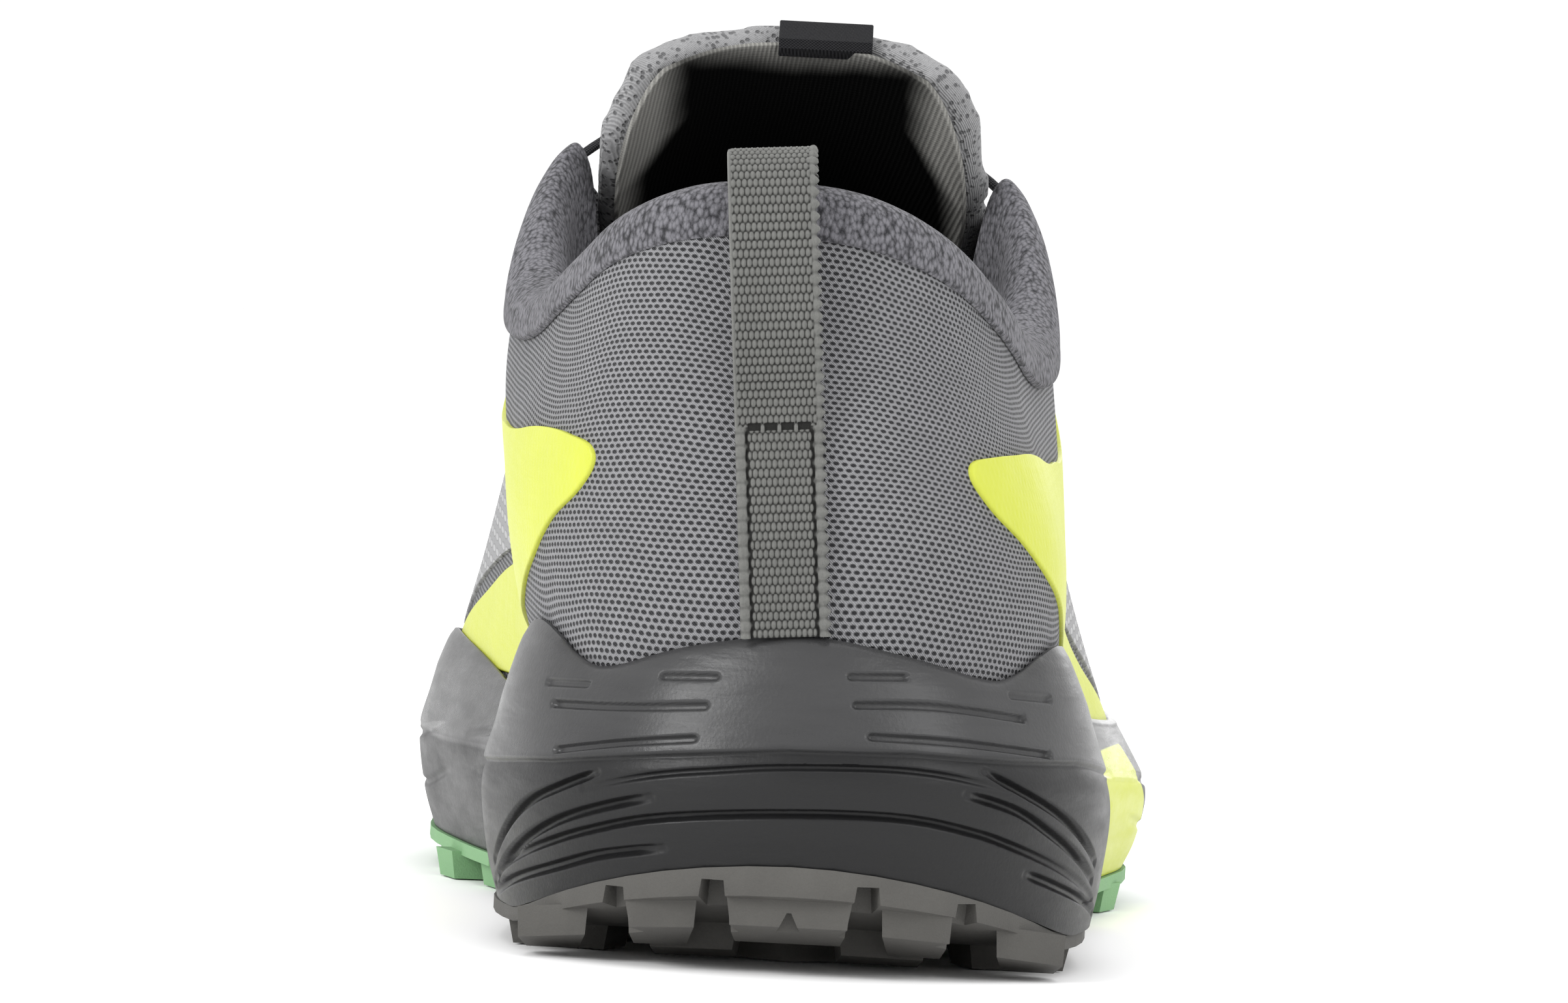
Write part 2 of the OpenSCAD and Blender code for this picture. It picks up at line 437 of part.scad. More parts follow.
// The lock rides on the two tails of the lace, which run down the instep side by side
lock_size = [14.5, 18, 6.6];
lock_lift = 7.8;          // height of the tails above the tongue, clear of the crossings
tail_half = 4.6;          // half the distance between the tails
tail_len = 50;
lock_bore = 2.9;
lock_mid = tongue_mid(0.6) + tongue_up(0.6) * lock_lift;
tail_drop = 30.5;         // the tails fall towards the toe at this angle
function tail_point(side, d) = lock_mid + [side * tail_half, d * cos(tail_drop), -d * sin(tail_drop)];
module on_lock() translate(lock_mid) rotate([-tail_drop, 0, 0]) children();

// Where the cord leaves a loop (k = 1 towards the toe), and where it passes over the edge of the opening beside it
function sleeve_end(s, k) = sleeve_at(s) + sleeve_dir(s) * k * (sleeve_len / 2 + 1.5);
function over_edge(s, k) = layer(s + (s > toe_row ? -k : k), 1, film_gap + film_thick + gap + cord_d / 2 + 0.3);
function tongue_u(y) = lookup(y, [for (i = [0:6]) [tongue_line[i][0], i / 6]]);
// One crossing over the tongue, from the loop at a to the loop at b, with its middle lifted over the other strand
function crossing(a, b, lift) = let (ua = tongue_u(edge_point(a)[1]), ub = tongue_u(edge_point(b)[1]),
    side = a < toe_row ? 1 : -1, low = cord_d / 2 + 0.5)
    [over_edge(a, 0.34), tongue_point(ua * 0.72 + ub * 0.28, side * 0.45, low + 0.7 + lift / 2),
     tongue_point((ua + ub) / 2, 0, low + lift), tongue_point(ua * 0.28 + ub * 0.72, -side * 0.45, low + 0.7 + lift / 2),
     over_edge(b, -0.34)];
function lace_side(i, first) = (i % 2 == 0) == first ? loop_rows[i] : spans - loop_rows[i];
function lace_run(first) = [for (i = [0:4]) let (s = lace_side(i, first))
    each concat([sleeve_end(s, -1), sleeve_at(s), sleeve_end(s, 1)],
        i < 4 ? crossing(s, lace_side(i + 1, first), first ? cord_d + 0.3 : 0) : [over_edge(s, 0.4)])];
// From the lock the cord arches over the top of each wing and into the first loop on its outer face
function shoulder(s) = [edge_point(s) + [s > toe_row ? 11 : -11, 1, 9], edge_point(s) + [s > toe_row ? 4 : -4, 1, 6.5],
    layer(s + (s > toe_row ? -0.06 : 0.06), 0.985, film_gap + film_thick + cord_d + 1)];
function tail_run(side) = [for (d = [tail_len, 35, 20, 9.5, 0, -6, -9.6, -11.2]) tail_point(side, d)];
function reversed(a) = [for (i = [len(a) - 1:-1:0]) a[i]];
lace_line = concat(tail_run(1), shoulder(7.05), lace_run(true), [tongue_point(0.06, 0, cord_d / 2 + 3.4)],
    reversed(lace_run(false)), reversed(shoulder(spans - 7.05)), reversed(tail_run(-1)));
lace_rings = 165;
module lace() color([0.12, 0.12, 0.13])
    sweep([for (i = [0:lace_rings]) along(lace_line, i / lace_rings)], cord_d / 2, 6);

module lock_body() color([0.13, 0.13, 0.14]) on_lock() difference() {
    hull() for (x = [-1, 1], y = [-1, 1]) translate([x * (lock_size[0] / 2 - 3), y * (lock_size[1] / 2 - 3), 0])
        cylinder(h = lock_size[2], r = 3, center = true, $fn = 32);
    for (x = [-1, 1]) translate([x * tail_half, 0, 0]) rotate([90, 0, 0])
        cylinder(h = lock_size[1] + 2, r = cord_d / 2 + 0.35, center = true, $fn = 32);
    translate([0, 0, -1.8]) cylinder(h = lock_size[2], r = lock_bore, $fn = 48);
}
button_foot = 1.2;
module lock_button() color([0.8, 0.85, 0.3]) on_lock() translate([0, 0, button_foot])
    cylinder(h = lock_size[2] / 2 - button_foot + button_travel + 0.7, r = lock_bore - 0.15, $fn = 48);
spring_turns = 4;
module lock_spring() color([0.75, 0.75, 0.76]) on_lock()
    sweep([for (i = [0:spring_turns * 9]) [1.9 * cos(i * 40), 1.9 * sin(i * 40),
        -1.45 + (button_foot + 1.15) * i / spring_turns / 9]], 0.2, 6);
cap_len = 12;
module cord_end_cap() color([0.13, 0.13, 0.14]) translate(tail_point(0, tail_len)) rotate([-tail_drop, 0, 0]) difference() {
    hull() for (x = [-1, 1]) translate([x * tail_half, cap_len / 2 - 3, 0]) rotate([90, 0, 0])
        cylinder(h = cap_len, r = 2.4, center = true, $fn = 32);
    for (x = [-1, 1]) translate([x * tail_half, 0.2, 0]) rotate([90, 0, 0])
        cylinder(h = cap_len, r = cord_d / 2 + 0.2, $fn = 32);
}

place() outsole_heel();
place() outsole_forefoot();
place() midsole();
place() strobel_board();
place() sockliner_foam();
place() sockliner_cover();
place() upper_mesh();
place() vamp_lining();
place() quarter_lining();
place() heel_counter();
place() toe_cap();
place() neon_overlay_lateral();
place() neon_overlay_medial();
place() side_overlay_lateral();
place() side_overlay_medial();
place() eyestay_lateral();
place() eyestay_medial();
place() collar_foam();
place() collar_lining();
place() tongue_cover();
place() tongue_foam();
place() tongue_lining();
place() tongue_loop();
place() heel_pull_tab();
place() lace_loops_lateral();
place() lace_loops_medial();
place() lace();
place() lock_body();
place() lock_button();
place() lock_spring();
place() cord_end_cap();
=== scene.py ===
"""Looks for the trail running shoe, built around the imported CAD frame.

Shape functions work in millimetres and meshes are written in metres.
+X is the outer side, +Y the toe and +Z up.
"""
import math
from collections import Counter

import bmesh
import bpy
import numpy as np
from mathutils import Matrix, Vector


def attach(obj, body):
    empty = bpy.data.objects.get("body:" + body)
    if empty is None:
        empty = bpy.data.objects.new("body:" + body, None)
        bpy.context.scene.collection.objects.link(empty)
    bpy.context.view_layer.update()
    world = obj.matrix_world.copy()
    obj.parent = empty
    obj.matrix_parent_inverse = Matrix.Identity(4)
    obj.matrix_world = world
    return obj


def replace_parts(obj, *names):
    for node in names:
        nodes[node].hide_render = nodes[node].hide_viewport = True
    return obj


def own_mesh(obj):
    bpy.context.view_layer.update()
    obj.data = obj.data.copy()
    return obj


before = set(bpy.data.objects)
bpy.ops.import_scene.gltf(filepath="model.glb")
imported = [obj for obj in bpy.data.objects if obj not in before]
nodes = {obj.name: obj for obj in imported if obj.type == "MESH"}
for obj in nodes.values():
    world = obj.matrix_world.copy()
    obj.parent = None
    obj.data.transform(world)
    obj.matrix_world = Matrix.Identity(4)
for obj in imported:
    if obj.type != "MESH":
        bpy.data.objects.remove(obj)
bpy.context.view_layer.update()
scene = bpy.context.scene
MM = 0.001
WELD = 0.004 * MM         # corners of the CAD mesh that are nearer than this are one

# ---------- camera and light ----------

CAMERA_PLACE = (-0.00175, -1.548, 0.104)
CAMERA_PITCH = 1.68       # degrees down
CAMERA_ROLL = 3.0
LENS = 244.4
SENSOR_WIDTH = 36.0
WORLD_STRENGTH = 1.06     # just enough for the floor's far edge to vanish

# Soft boxes: place, what it aims at, size and power
LIGHTS = {
    "left_softbox": ((-1.5, -1.4, 1.1), (0, -0.1, 0.06), 0.9, 30),
    "right_softbox": ((1.5, -0.9, 0.9), (0, -0.1, 0.06), 0.9, 9),
    "overhead": ((0.1, 0.1, 1.9), (0, 0, 0), 1.4, 11),
    "front_fill": ((0.4, 2.2, 0.8), (0, 0.1, 0.05), 1.2, 9),
}


def new_object(name, data):
    obj = bpy.data.objects.new(name, data)
    scene.collection.objects.link(obj)
    return obj


def add_camera():
    data = bpy.data.cameras.new("camera")
    data.lens = LENS
    data.sensor_width = SENSOR_WIDTH
    data.clip_end = 100.0
    camera = new_object("camera", data)
    tilt = Matrix.Rotation(math.radians(90 - CAMERA_PITCH), 4, "X")
    roll = Matrix.Rotation(math.radians(CAMERA_ROLL), 4, "Z")
    camera.matrix_world = Matrix.Translation(CAMERA_PLACE) @ tilt @ roll
    scene.camera = camera


def add_light(name, place, aim, size, power):
    data = bpy.data.lights.new(name, "AREA")
    data.shape = "SQUARE"
    data.size = size
    data.energy = power
    light = new_object(name, data)
    light.location = place
    light.rotation_euler = (Vector(aim) - Vector(place)).to_track_quat("-Z", "Y").to_euler()


def add_studio():
    world = bpy.data.worlds.new("studio")
    world.use_nodes = True
    background = world.node_tree.nodes["Background"]
    background.inputs["Color"].default_value = (1.0, 1.0, 1.0, 1)
    background.inputs["Strength"].default_value = WORLD_STRENGTH
    scene.world = world
    for name, setting in LIGHTS.items():
        add_light(name, *setting)
    scene.view_settings.view_transform = "Standard"


add_camera()
add_studio()

# ---------- materials ----------


def colour(value):
    """A grey level or an RGB triple as a shader colour."""
    rgb = (value, value, value) if isinstance(value, (int, float)) else value
    return (*rgb, 1.0)


class Paint:
    """A procedural material, made of steps that give sockets and end in one Principled shader."""

    def __init__(self, name, rough=0.6, spec=0.4, sheen=0.0, metallic=0.0):
        self.material = bpy.data.materials.new(name)
        self.material.use_nodes = True
        self.tree = self.material.node_tree
        self.shader = self.tree.nodes["Principled BSDF"]
        constants = {"Roughness": rough, "Specular IOR Level": spec, "Sheen Weight": sheen,
                     "Metallic": metallic}
        for key, value in constants.items():
            self.shader.inputs[key].default_value = value
        self.normal = None

    def put(self, socket, value):
        if isinstance(value, bpy.types.NodeSocket):
            self.tree.links.new(value, socket)
        elif value is not None:
            socket.default_value = value

    def step(self, kind, *values, **settings):
        node = self.tree.nodes.new("ShaderNode" + kind)
        for key, value in settings.items():
            setattr(node, key, value)
        for socket, value in zip(node.inputs, values):
            self.put(socket, value)
        return node

    def math(self, operation, a, b=None, c=None):
        return self.step("Math", a, b, c, operation=operation).outputs[0]

    def mix(self, share, a, b):
        node = self.tree.nodes.new("ShaderNodeMix")
        node.data_type = "RGBA"
        self.put(node.inputs[0], share)
        for socket, value in ((node.inputs[6], a), (node.inputs[7], b)):
            self.put(socket, value if isinstance(value, bpy.types.NodeSocket) else colour(value))
        return node.outputs[2]

    def ramp(self, value, low, high, to_low=0.0, to_high=1.0):
        node = self.step("MapRange", interpolation_type="SMOOTHSTEP")
        for socket, item in zip(node.inputs, (value, low, high, to_low, to_high)):
            self.put(socket, item)
        return node.outputs[0]

    def wrap(self):
        """Distance round the shoe and up its surface, in millimetres."""
        return self.step("UVMap", uv_map="wrap").outputs[0]

    def field(self, name):
        """Two numbers that the mesh keeps for each point."""
        first, second, _ = self.split(self.step("UVMap", uv_map=name).outputs[0])
        return first, second

    def place(self, stretch=(1, 1, 1)):
        """Place on the object in millimetres, stretched along each axis."""
        point = self.step("TexCoord").outputs["Object"]
        scale = tuple(k / MM for k in stretch)
        return self.step("VectorMath", point, scale, operation="MULTIPLY").outputs[0]

    def split(self, vector):
        return tuple(self.step("SeparateXYZ", vector).outputs)

    def noise(self, vector, scale, detail=2.0, rough=0.5):
        node = self.step("TexNoise")
        for key, value in {"Vector": vector, "Scale": scale, "Detail": detail, "Roughness": rough}.items():
            self.put(node.inputs[key], value)
        return node.outputs[0]

    def cells(self, vector, scale):
        """Distance to the middle of the nearest of many uneven cells."""
        node = self.step("TexVoronoi")
        self.put(node.inputs["Vector"], vector)
        self.put(node.inputs["Scale"], scale)
        return node.outputs["Distance"]

    def lattice(self, u, v, pitch_u, pitch_v):
        """Place inside a cell of a staggered grid, from -0.5 to 0.5 both ways."""
        y = self.math("DIVIDE", v, pitch_v)
        row = self.math("FLOOR", y)
        shift = self.math("MULTIPLY", self.math("FLOORED_MODULO", row, 2.0), 0.5)
        x = self.math("ADD", self.math("DIVIDE", u, pitch_u), shift)
        return [self.math("SUBTRACT", self.math("FRACT", part), 0.5) for part in (x, y)]

    def spot(self, fu, fv, half_u, half_v, soft=0.3):
        """1 inside an ellipse of those half sizes, in cell units, falling softly to 0."""
        a = self.math("DIVIDE", fu, half_u)
        b = self.math("DIVIDE", fv, half_v)
        square = self.math("ADD", self.math("MULTIPLY", a, a), self.math("MULTIPLY", b, b))
        return self.ramp(self.math("SQRT", square), 1 - soft, 1 + soft, 1.0, 0.0)

    def wave(self, value, pitch):
        """A sine along a length, from 0 to 1."""
        s = self.math("SINE", self.math("MULTIPLY", value, 2 * math.pi / pitch))
        return self.math("MULTIPLY_ADD", s, 0.5, 0.5)

    def total(self, *terms):
        """Sum of (socket, weight) pairs."""
        value = None
        for socket, weight in terms:
            part = self.math("MULTIPLY", socket, weight)
            value = part if value is None else self.math("ADD", value, part)
        return value

    def bump(self, height, depth):
        """Relief of that depth in millimetres for a height from 0 to 1, on top of the relief so far."""
        node = self.step("Bump")
        settings = {"Strength": 1.0, "Distance": depth * MM, "Height": height, "Normal": self.normal}
        for key, value in settings.items():
            self.put(node.inputs[key], value)
        self.normal = node.outputs[0]

    def finish(self, base, rough=None):
        for key, value in {"Base Color": base, "Roughness": rough, "Normal": self.normal}.items():
            self.put(self.shader.inputs[key], value)
        return self.material


def floor_paint():
    p = Paint("studio_floor", rough=0.9, spec=0.1)
    soft = p.noise(p.place(), 0.01)
    return p.finish(p.mix(soft, 0.93, 0.96))


def mesh_paint():
    """Spacer mesh: light yarn round staggered dark pores, with a twist in the yarn."""
    p = Paint("upper_mesh_paint", rough=0.72, spec=0.3, sheen=0.08)
    pitch_u, pitch_v, twist_pitch = 1.28, 0.8, 0.42
    u, v, _ = p.split(p.wrap())
    drift = p.noise(p.wrap(), 0.05, 1.0)
    v = p.math("ADD", v, p.math("MULTIPLY", drift, 1.6))
    fu, fv = p.lattice(u, v, pitch_u, pitch_v)
    pore = p.spot(fu, fv, 0.34, 0.3, 0.35)
    twist = p.wave(p.math("ADD", u, p.math("MULTIPLY", v, 1.3)), twist_pitch)
    shade = p.noise(p.wrap(), 0.35, 3.0)
    yarn = p.mix(p.total((twist, 0.5), (shade, 0.5)), (0.185, 0.185, 0.195), (0.37, 0.37, 0.385))
    base = p.mix(pore, yarn, (0.012, 0.012, 0.015))
    p.bump(p.total((p.math("SUBTRACT", 1.0, pore), 1.0), (twist, 0.3)), 0.55)
    return p.finish(base)


def film_paint(name, dark, light, wear):
    """A bonded film: smooth, faintly grained, with a dimpled press pattern and a few soft creases."""
    p = Paint(name, rough=0.42, spec=0.45)
    u, v, _ = p.split(p.wrap())
    grain = p.noise(p.wrap(), 3.2, 3.0)
    crease = p.noise(p.wrap(), 0.11, 3.0, 0.6)
    pitch_u, pitch_v = 1.5, 1.9
    fu, fv = p.lattice(u, v, pitch_u, pitch_v)
    press = p.spot(fu, fv, 0.3, 0.3, 0.6)
    p.bump(p.total((grain, 0.35), (press, -0.25)), 0.09)
    p.bump(crease, wear)
    base = p.mix(p.total((crease, 0.6), (grain, 0.4)), dark, light)
    return p.finish(base, p.ramp(grain, 0.2, 0.8, 0.36, 0.52))


def embossed_paint(name, dark, light):
    """A synthetic overlay with an embossed field of short dashes."""
    p = Paint(name, rough=0.5, spec=0.4)
    u, v, _ = p.split(p.wrap())
    pitch_u, pitch_v = 5.2, 2.1
    fu, fv = p.lattice(u, v, pitch_u, pitch_v)
    dash = p.spot(fu, fv, 0.4, 0.26, 0.25)
    grain = p.noise(p.wrap(), 2.6, 3.0)
    p.bump(p.total((dash, 1.0), (grain, 0.25)), 0.28)
    base = p.mix(p.total((dash, 0.55), (grain, 0.45)), dark, light)
    return p.finish(base, p.ramp(dash, 0, 1, 0.6, 0.42))


def nub_paint(name, dark, light):
    """A brushed knit with irregular raised nubs."""
    p = Paint(name, rough=0.88, spec=0.15, sheen=0.1)
    pitch, depth = 0.62, 0.38
    point = p.place((1.0, 1.0, 0.62))
    nub = p.cells(point, 1 / pitch)
    fuzz = p.noise(p.place((1.0, 1.0, 0.7)), 2.4 / pitch, 3.0, 0.65)
    height = p.math("SUBTRACT", 1.0, p.total((nub, 0.75), (fuzz, 0.5)))
    broad = p.noise(p.place(), 0.06, 2.0)
    base = p.mix(p.ramp(p.total((height, 1.0), (broad, 0.2)), 0.1, 0.75), dark, light)
    p.bump(height, depth)
    return p.finish(base)


def rib_paint(name, dark, light, pitch=0.62, unshaded_rim=None):
    """Fine ribbed knit. With an unshaded rim colour it keeps that colour at the edge and fades further in to
    its own colours, which are then painted shade.
    """
    p = Paint(name, rough=0.9, spec=0.03)
    shade_from, shade_to = 2.6, 7.4
    x, y, z = p.split(p.place())
    wobble = p.noise(p.place(), 0.12, 2.0)
    rib = p.wave(p.total((x, 1.0), (y, 0.22), (wobble, 0.5)), pitch)
    cross = p.wave(p.total((z, 1.0), (y, -0.6)), pitch * 0.8)
    fuzz = p.noise(p.place(), 2.2, 2.0)
    height = p.total((rib, 0.7), (cross, 0.15), (fuzz, 0.2))
    base = p.mix(height, dark, light)
    if unshaded_rim:
        inward, _ = p.field("rim")
        pale = p.mix(height, tuple(c * 0.5 for c in unshaded_rim), unshaded_rim)
        # Painted shade: darker with distance in from the rim, towards the deep inside of the tongue
        base = p.mix(p.ramp(p.total((inward, 1.0), (wobble, 1.5)), shade_from, shade_to), pale, base)
    p.bump(height, 0.16)
    return p.finish(base)


def chunky_paint(name, dark, light):
    """Coarse spacer knit with open holes, for the tongue's outside."""
    p = Paint(name, rough=0.82, spec=0.18, sheen=0.08)
    pitch = 0.95
    hole = p.ramp(p.cells(p.place(), 1 / pitch), 0.2, 0.45, 0.62, 0.0)
    yarn = p.noise(p.place(), 1.9, 3.0, 0.6)
    x, y, z = p.split(p.place())
    twist = p.wave(p.total((x, 1.0), (y, 0.9), (z, 1.3)), 0.5)
    base = p.mix(hole, p.mix(p.total((yarn, 0.6), (twist, 0.4)), dark, light), (0.02, 0.02, 0.023))
    p.bump(p.total((hole, -1.0), (yarn, 0.25), (twist, 0.2)), 0.4)
    return p.finish(base)


def midsole_paint():
    """Moulded foam: satin above the shelf line and matt below it, with painted light making it lighter above
    the line and painted shade making it darker below, and one painted neon patch.
    """
    p = Paint("midsole_paint", rough=0.5, spec=0.27)
    above, patch = p.field("zone")
    pebble = p.cells(p.place(), 1.5)
    fine = p.noise(p.place(), 2.8, 4.0, 0.6)
    flow = p.noise(p.place((0.3, 0.3, 1.0)), 0.09, 4.0, 0.6)
    streak = p.noise(p.place((0.12, 0.12, 0.9)), 0.5, 3.0, 0.6)
    skin = p.total((flow, 0.6), (streak, 0.25), (fine, 0.15))
    # Painted light and painted shade: one foam colour, made lighter above the shelf line and darker below it
    upper = p.mix(skin, (0.026, 0.026, 0.027), (0.055, 0.055, 0.056))
    lower = p.mix(skin, (0.006, 0.006, 0.0065), (0.0145, 0.0145, 0.015))
    grey = p.mix(p.ramp(above, -0.6, 1.2), lower, upper)
    neon = p.mix(fine, (0.44, 0.49, 0.03), (0.53, 0.565, 0.052))
    base = p.mix(p.ramp(patch, -0.15, 0.15), grey, neon)
    p.bump(p.total((pebble, 0.3), (fine, 0.5)), 0.05)
    p.bump(p.total((flow, 0.8), (streak, 0.2)), 0.55)
    matt = p.ramp(above, -0.6, 1.2, 0.12, 0.0)
    return p.finish(base, p.math("ADD", matt, p.ramp(skin, 0.3, 0.7, 0.22, 0.4)))


def rubber_paint(name, dark, light):
    """Moulded tread rubber: matt, finely sandblasted, dusty in places."""
    p = Paint(name, rough=0.7, spec=0.18)
    grit = p.noise(p.place(), 3.6, 3.0, 0.6)
    dust = p.noise(p.place(), 0.08, 4.0, 0.6)
    base = p.mix(p.total((dust, 0.75), (grit, 0.25)), dark, light)
    p.bump(grit, 0.07)
    p.bump(dust, 0.12)
    return p.finish(base, p.ramp(dust, 0.3, 0.7, 0.58, 0.76))


def thread_paint(name, dark, light):
    """Twisted yarn or braid, for tape and cord."""
    p = Paint(name, rough=0.8, spec=0.1, sheen=0.02)
    pitch = 0.34
    x, y, z = p.split(p.place())
    one = p.wave(p.total((x, 0.7), (y, 0.7), (z, 1.0)), pitch)
    other = p.wave(p.total((x, 0.7), (y, -0.7), (z, -0.9)), pitch * 1.1)
    fuzz = p.noise(p.place(), 3.0, 2.0)
    height = p.total((one, 0.4), (other, 0.35), (fuzz, 0.3))
    p.bump(height, 0.12)
    return p.finish(p.mix(p.ramp(height, 0.2, 0.9), dark, light))


def webbing_paint():
    """Woven tape: pale raised picks with painted shade in the gaps between them, and fine filaments along
    each pick.
    """
    p = Paint("webbing_paint", rough=0.75, spec=0.2, sheen=0.06)
    height, _ = p.field("relief")
    x, _, z = p.split(p.place())
    filament = p.wave(p.total((x, 1.0), (z, 0.08)), 0.17)
    fuzz = p.noise(p.place(), 2.6, 3.0, 0.6)
    broad = p.noise(p.place(), 0.12, 2.0)
    shade = p.total((filament, 0.25), (fuzz, 0.45), (broad, 0.3))
    pick = p.mix(shade, (0.07, 0.071, 0.067), (0.21, 0.211, 0.2))
    # Painted shade: the colour darkens into the gaps between the raised picks, following the weave's relief
    base = p.mix(p.ramp(height, -0.12, 0.6), (0.012, 0.012, 0.011), pick)
    p.bump(p.total((filament, 0.5), (fuzz, 0.5)), 0.08)
    return p.finish(base)


def plastic_paint(name, dark, light):
    """Moulded plastic with a fine spark-eroded texture and rubbed patches."""
    p = Paint(name, spec=0.5)
    spark = p.noise(p.place(), 6.0, 2.0)
    rub = p.noise(p.place(), 0.3, 3.0)
    p.bump(spark, 0.03)
    return p.finish(p.mix(rub, dark, light), p.ramp(rub, 0.3, 0.7, 0.32, 0.5))


def steel_paint():
    p = Paint("spring_steel_paint", rough=0.3, metallic=1.0)
    draw = p.noise(p.place((1.0, 1.0, 6.0)), 2.0, 3.0)
    p.bump(draw, 0.02)
    return p.finish(p.mix(draw, 0.5, 0.66), p.ramp(draw, 0.2, 0.8, 0.24, 0.4))


def board_paint():
    """Pressed fibre board with loose fibres."""
    p = Paint("board_paint", rough=0.85, spec=0.2)
    fibre = p.noise(p.place((0.5, 2.0, 1.0)), 0.9, 4.0, 0.7)
    p.bump(fibre, 0.1)
    return p.finish(p.mix(fibre, (0.55, 0.52, 0.44), (0.8, 0.77, 0.68)))


def open_foam_paint(name, dark, light):
    """Cut open-cell foam."""
    p = Paint(name, rough=0.9, spec=0.15)
    cell = p.cells(p.place(), 1.3)
    fine = p.noise(p.place(), 1.8, 3.0)
    p.bump(cell, 0.3)
    return p.finish(p.mix(p.total((cell, 0.6), (fine, 0.4)), dark, light))


PAINTS = {
    "mesh": mesh_paint(),
    "neon": film_paint("neon_paint", (0.43, 0.475, 0.03), (0.53, 0.565, 0.055), 0.35),
    "grey_film": embossed_paint("grey_film_paint", (0.2, 0.2, 0.205), (0.33, 0.33, 0.335)),
    "dark_film": film_paint("dark_film_paint", (0.018, 0.018, 0.02), (0.045, 0.045, 0.05), 0.2),
    "collar": nub_paint("collar_paint", (0.022, 0.022, 0.025), (0.17, 0.167, 0.183)),
    "lining": rib_paint("lining_paint", (0.02, 0.02, 0.022), (0.07, 0.07, 0.075)),
    # Tongue lining: its near-black colours are painted shade deep inside the tongue, fading out to the
    # lining's real pale colour at the rim
    "tongue_rib": rib_paint("tongue_rib_paint", 0.0008, 0.003, unshaded_rim=(0.29, 0.286, 0.268)),
    "tongue_mesh": chunky_paint("tongue_mesh_paint", (0.16, 0.16, 0.163), (0.37, 0.37, 0.375)),
    "midsole": midsole_paint(),
    "heel_rubber": rubber_paint("heel_rubber_paint", (0.05, 0.048, 0.045), (0.115, 0.112, 0.104)),
    "mint_rubber": rubber_paint("mint_rubber_paint", (0.13, 0.27, 0.13), (0.26, 0.45, 0.24)),
    "webbing": webbing_paint(),
    "tape": thread_paint("tape_paint", (0.005, 0.005, 0.006), (0.026, 0.026, 0.028)),
    "cord": thread_paint("cord_paint", (0.008, 0.008, 0.009), (0.05, 0.05, 0.053)),
    "plastic": plastic_paint("lock_plastic_paint", (0.012, 0.012, 0.013), (0.035, 0.035, 0.037)),
    "button": plastic_paint("button_plastic_paint", (0.55, 0.66, 0.02), (0.78, 0.88, 0.04)),
    "steel": steel_paint(),
    "board": board_paint(),
    "liner_foam": open_foam_paint("liner_foam_paint", (0.05, 0.2, 0.17), (0.12, 0.36, 0.3)),
    "liner_cloth": rib_paint("liner_cloth_paint", (0.02, 0.02, 0.022), (0.075, 0.075, 0.08), pitch=0.9),
    "counter": open_foam_paint("counter_paint", (0.6, 0.59, 0.55), (0.8, 0.79, 0.75)),
}

# ---------- reading shapes from the frame ----------

# The guide line in plan, with a half circle round each of its ends, and the shoe's half width about it
SPINE_X = 1.9
HEEL_Y = -104.0
TOE_Y = 96.0
HEEL_R = 42.0
FULL_R = 55.0
QUARTER = HEEL_R * math.pi / 2


def unit(vectors):
    return vectors / np.maximum(np.linalg.norm(vectors, axis=-1, keepdims=True), 1e-9)


def wrap_place(points):
    """Distance round the shoe from the heel's centre and distance up its surface, in millimetres."""
    x = points[..., 0] - SPINE_X
    y, z = points[..., 1], points[..., 2]
    side = np.where(x < 0, -1.0, 1.0)
    heel = np.arctan2(x, HEEL_Y - y) * HEEL_R
    flank = side * (QUARTER + y - HEEL_Y)
    toe = side * (QUARTER + TOE_Y - HEEL_Y + np.arctan2(y - TOE_Y, np.abs(x)) * HEEL_R)
    u = np.where(y < HEEL_Y, heel, np.where(y > TOE_Y, toe, flank))
    past = np.where(y < HEEL_Y, y - HEEL_Y, np.where(y > TOE_Y, y - TOE_Y, 0.0))
    reach = np.hypot(x, past)
    return np.stack([u, z + 0.8 * (FULL_R - reach)], -1)


def outward(point):
    """Roughly away from the foot: away from the guide line in plan, and a little up."""
    y = min(max(point[1], HEEL_Y), TOE_Y)
    return unit(np.array([point[0] - SPINE_X, point[1] - y, 0.0])) + np.array([0, 0, 0.3])


def welded(node):
    """A CAD node's corners in millimetres, each once, and its triangles."""
    work = bmesh.new()
    work.from_mesh(nodes[node].data)
    bmesh.ops.remove_doubles(work, verts=work.verts, dist=WELD)
    bmesh.ops.triangulate(work, faces=work.faces)
    work.verts.index_update()
    points = np.array([v.co for v in work.verts]) / MM
    triangles = [[v.index for v in f.verts] for f in work.faces]
    work.free()
    return points, triangles


def edges_of(triangles):
    return {tuple(sorted(pair)) for a, b, c in triangles for pair in ((a, b), (b, c), (c, a))}


def rim_rings(points, triangles, width, above, level=False):
    """The outer and inner rings of a rim of that width, in order from the heel round the outer side."""
    near_enough = 0.02
    edges = edges_of(triangles)
    rungs = {}
    for a, b in edges:
        rung = points[a] - points[b]
        right = abs(np.linalg.norm(rung) - width) < near_enough and min(points[a][2], points[b][2]) > above
        if right and not (level and abs(rung[2]) > near_enough):
            outer, inner = (a, b) if rung @ outward(points[a]) > 0 else (b, a)
            rungs[outer] = inner
    near = {v: [] for v in rungs}
    for a, b in edges:
        if a in rungs and b in rungs:
            near[a].append(b)
            near[b].append(a)
    start = min(rungs, key=lambda v: points[v][1])
    ring = [start, max(near[start], key=lambda v: points[v][0])]
    while True:
        onward = [v for v in near[ring[-1]] if v != ring[-2]]
        if onward[0] == start:
            break
        ring.append(onward[0])
    return ring, [rungs[v] for v in ring]


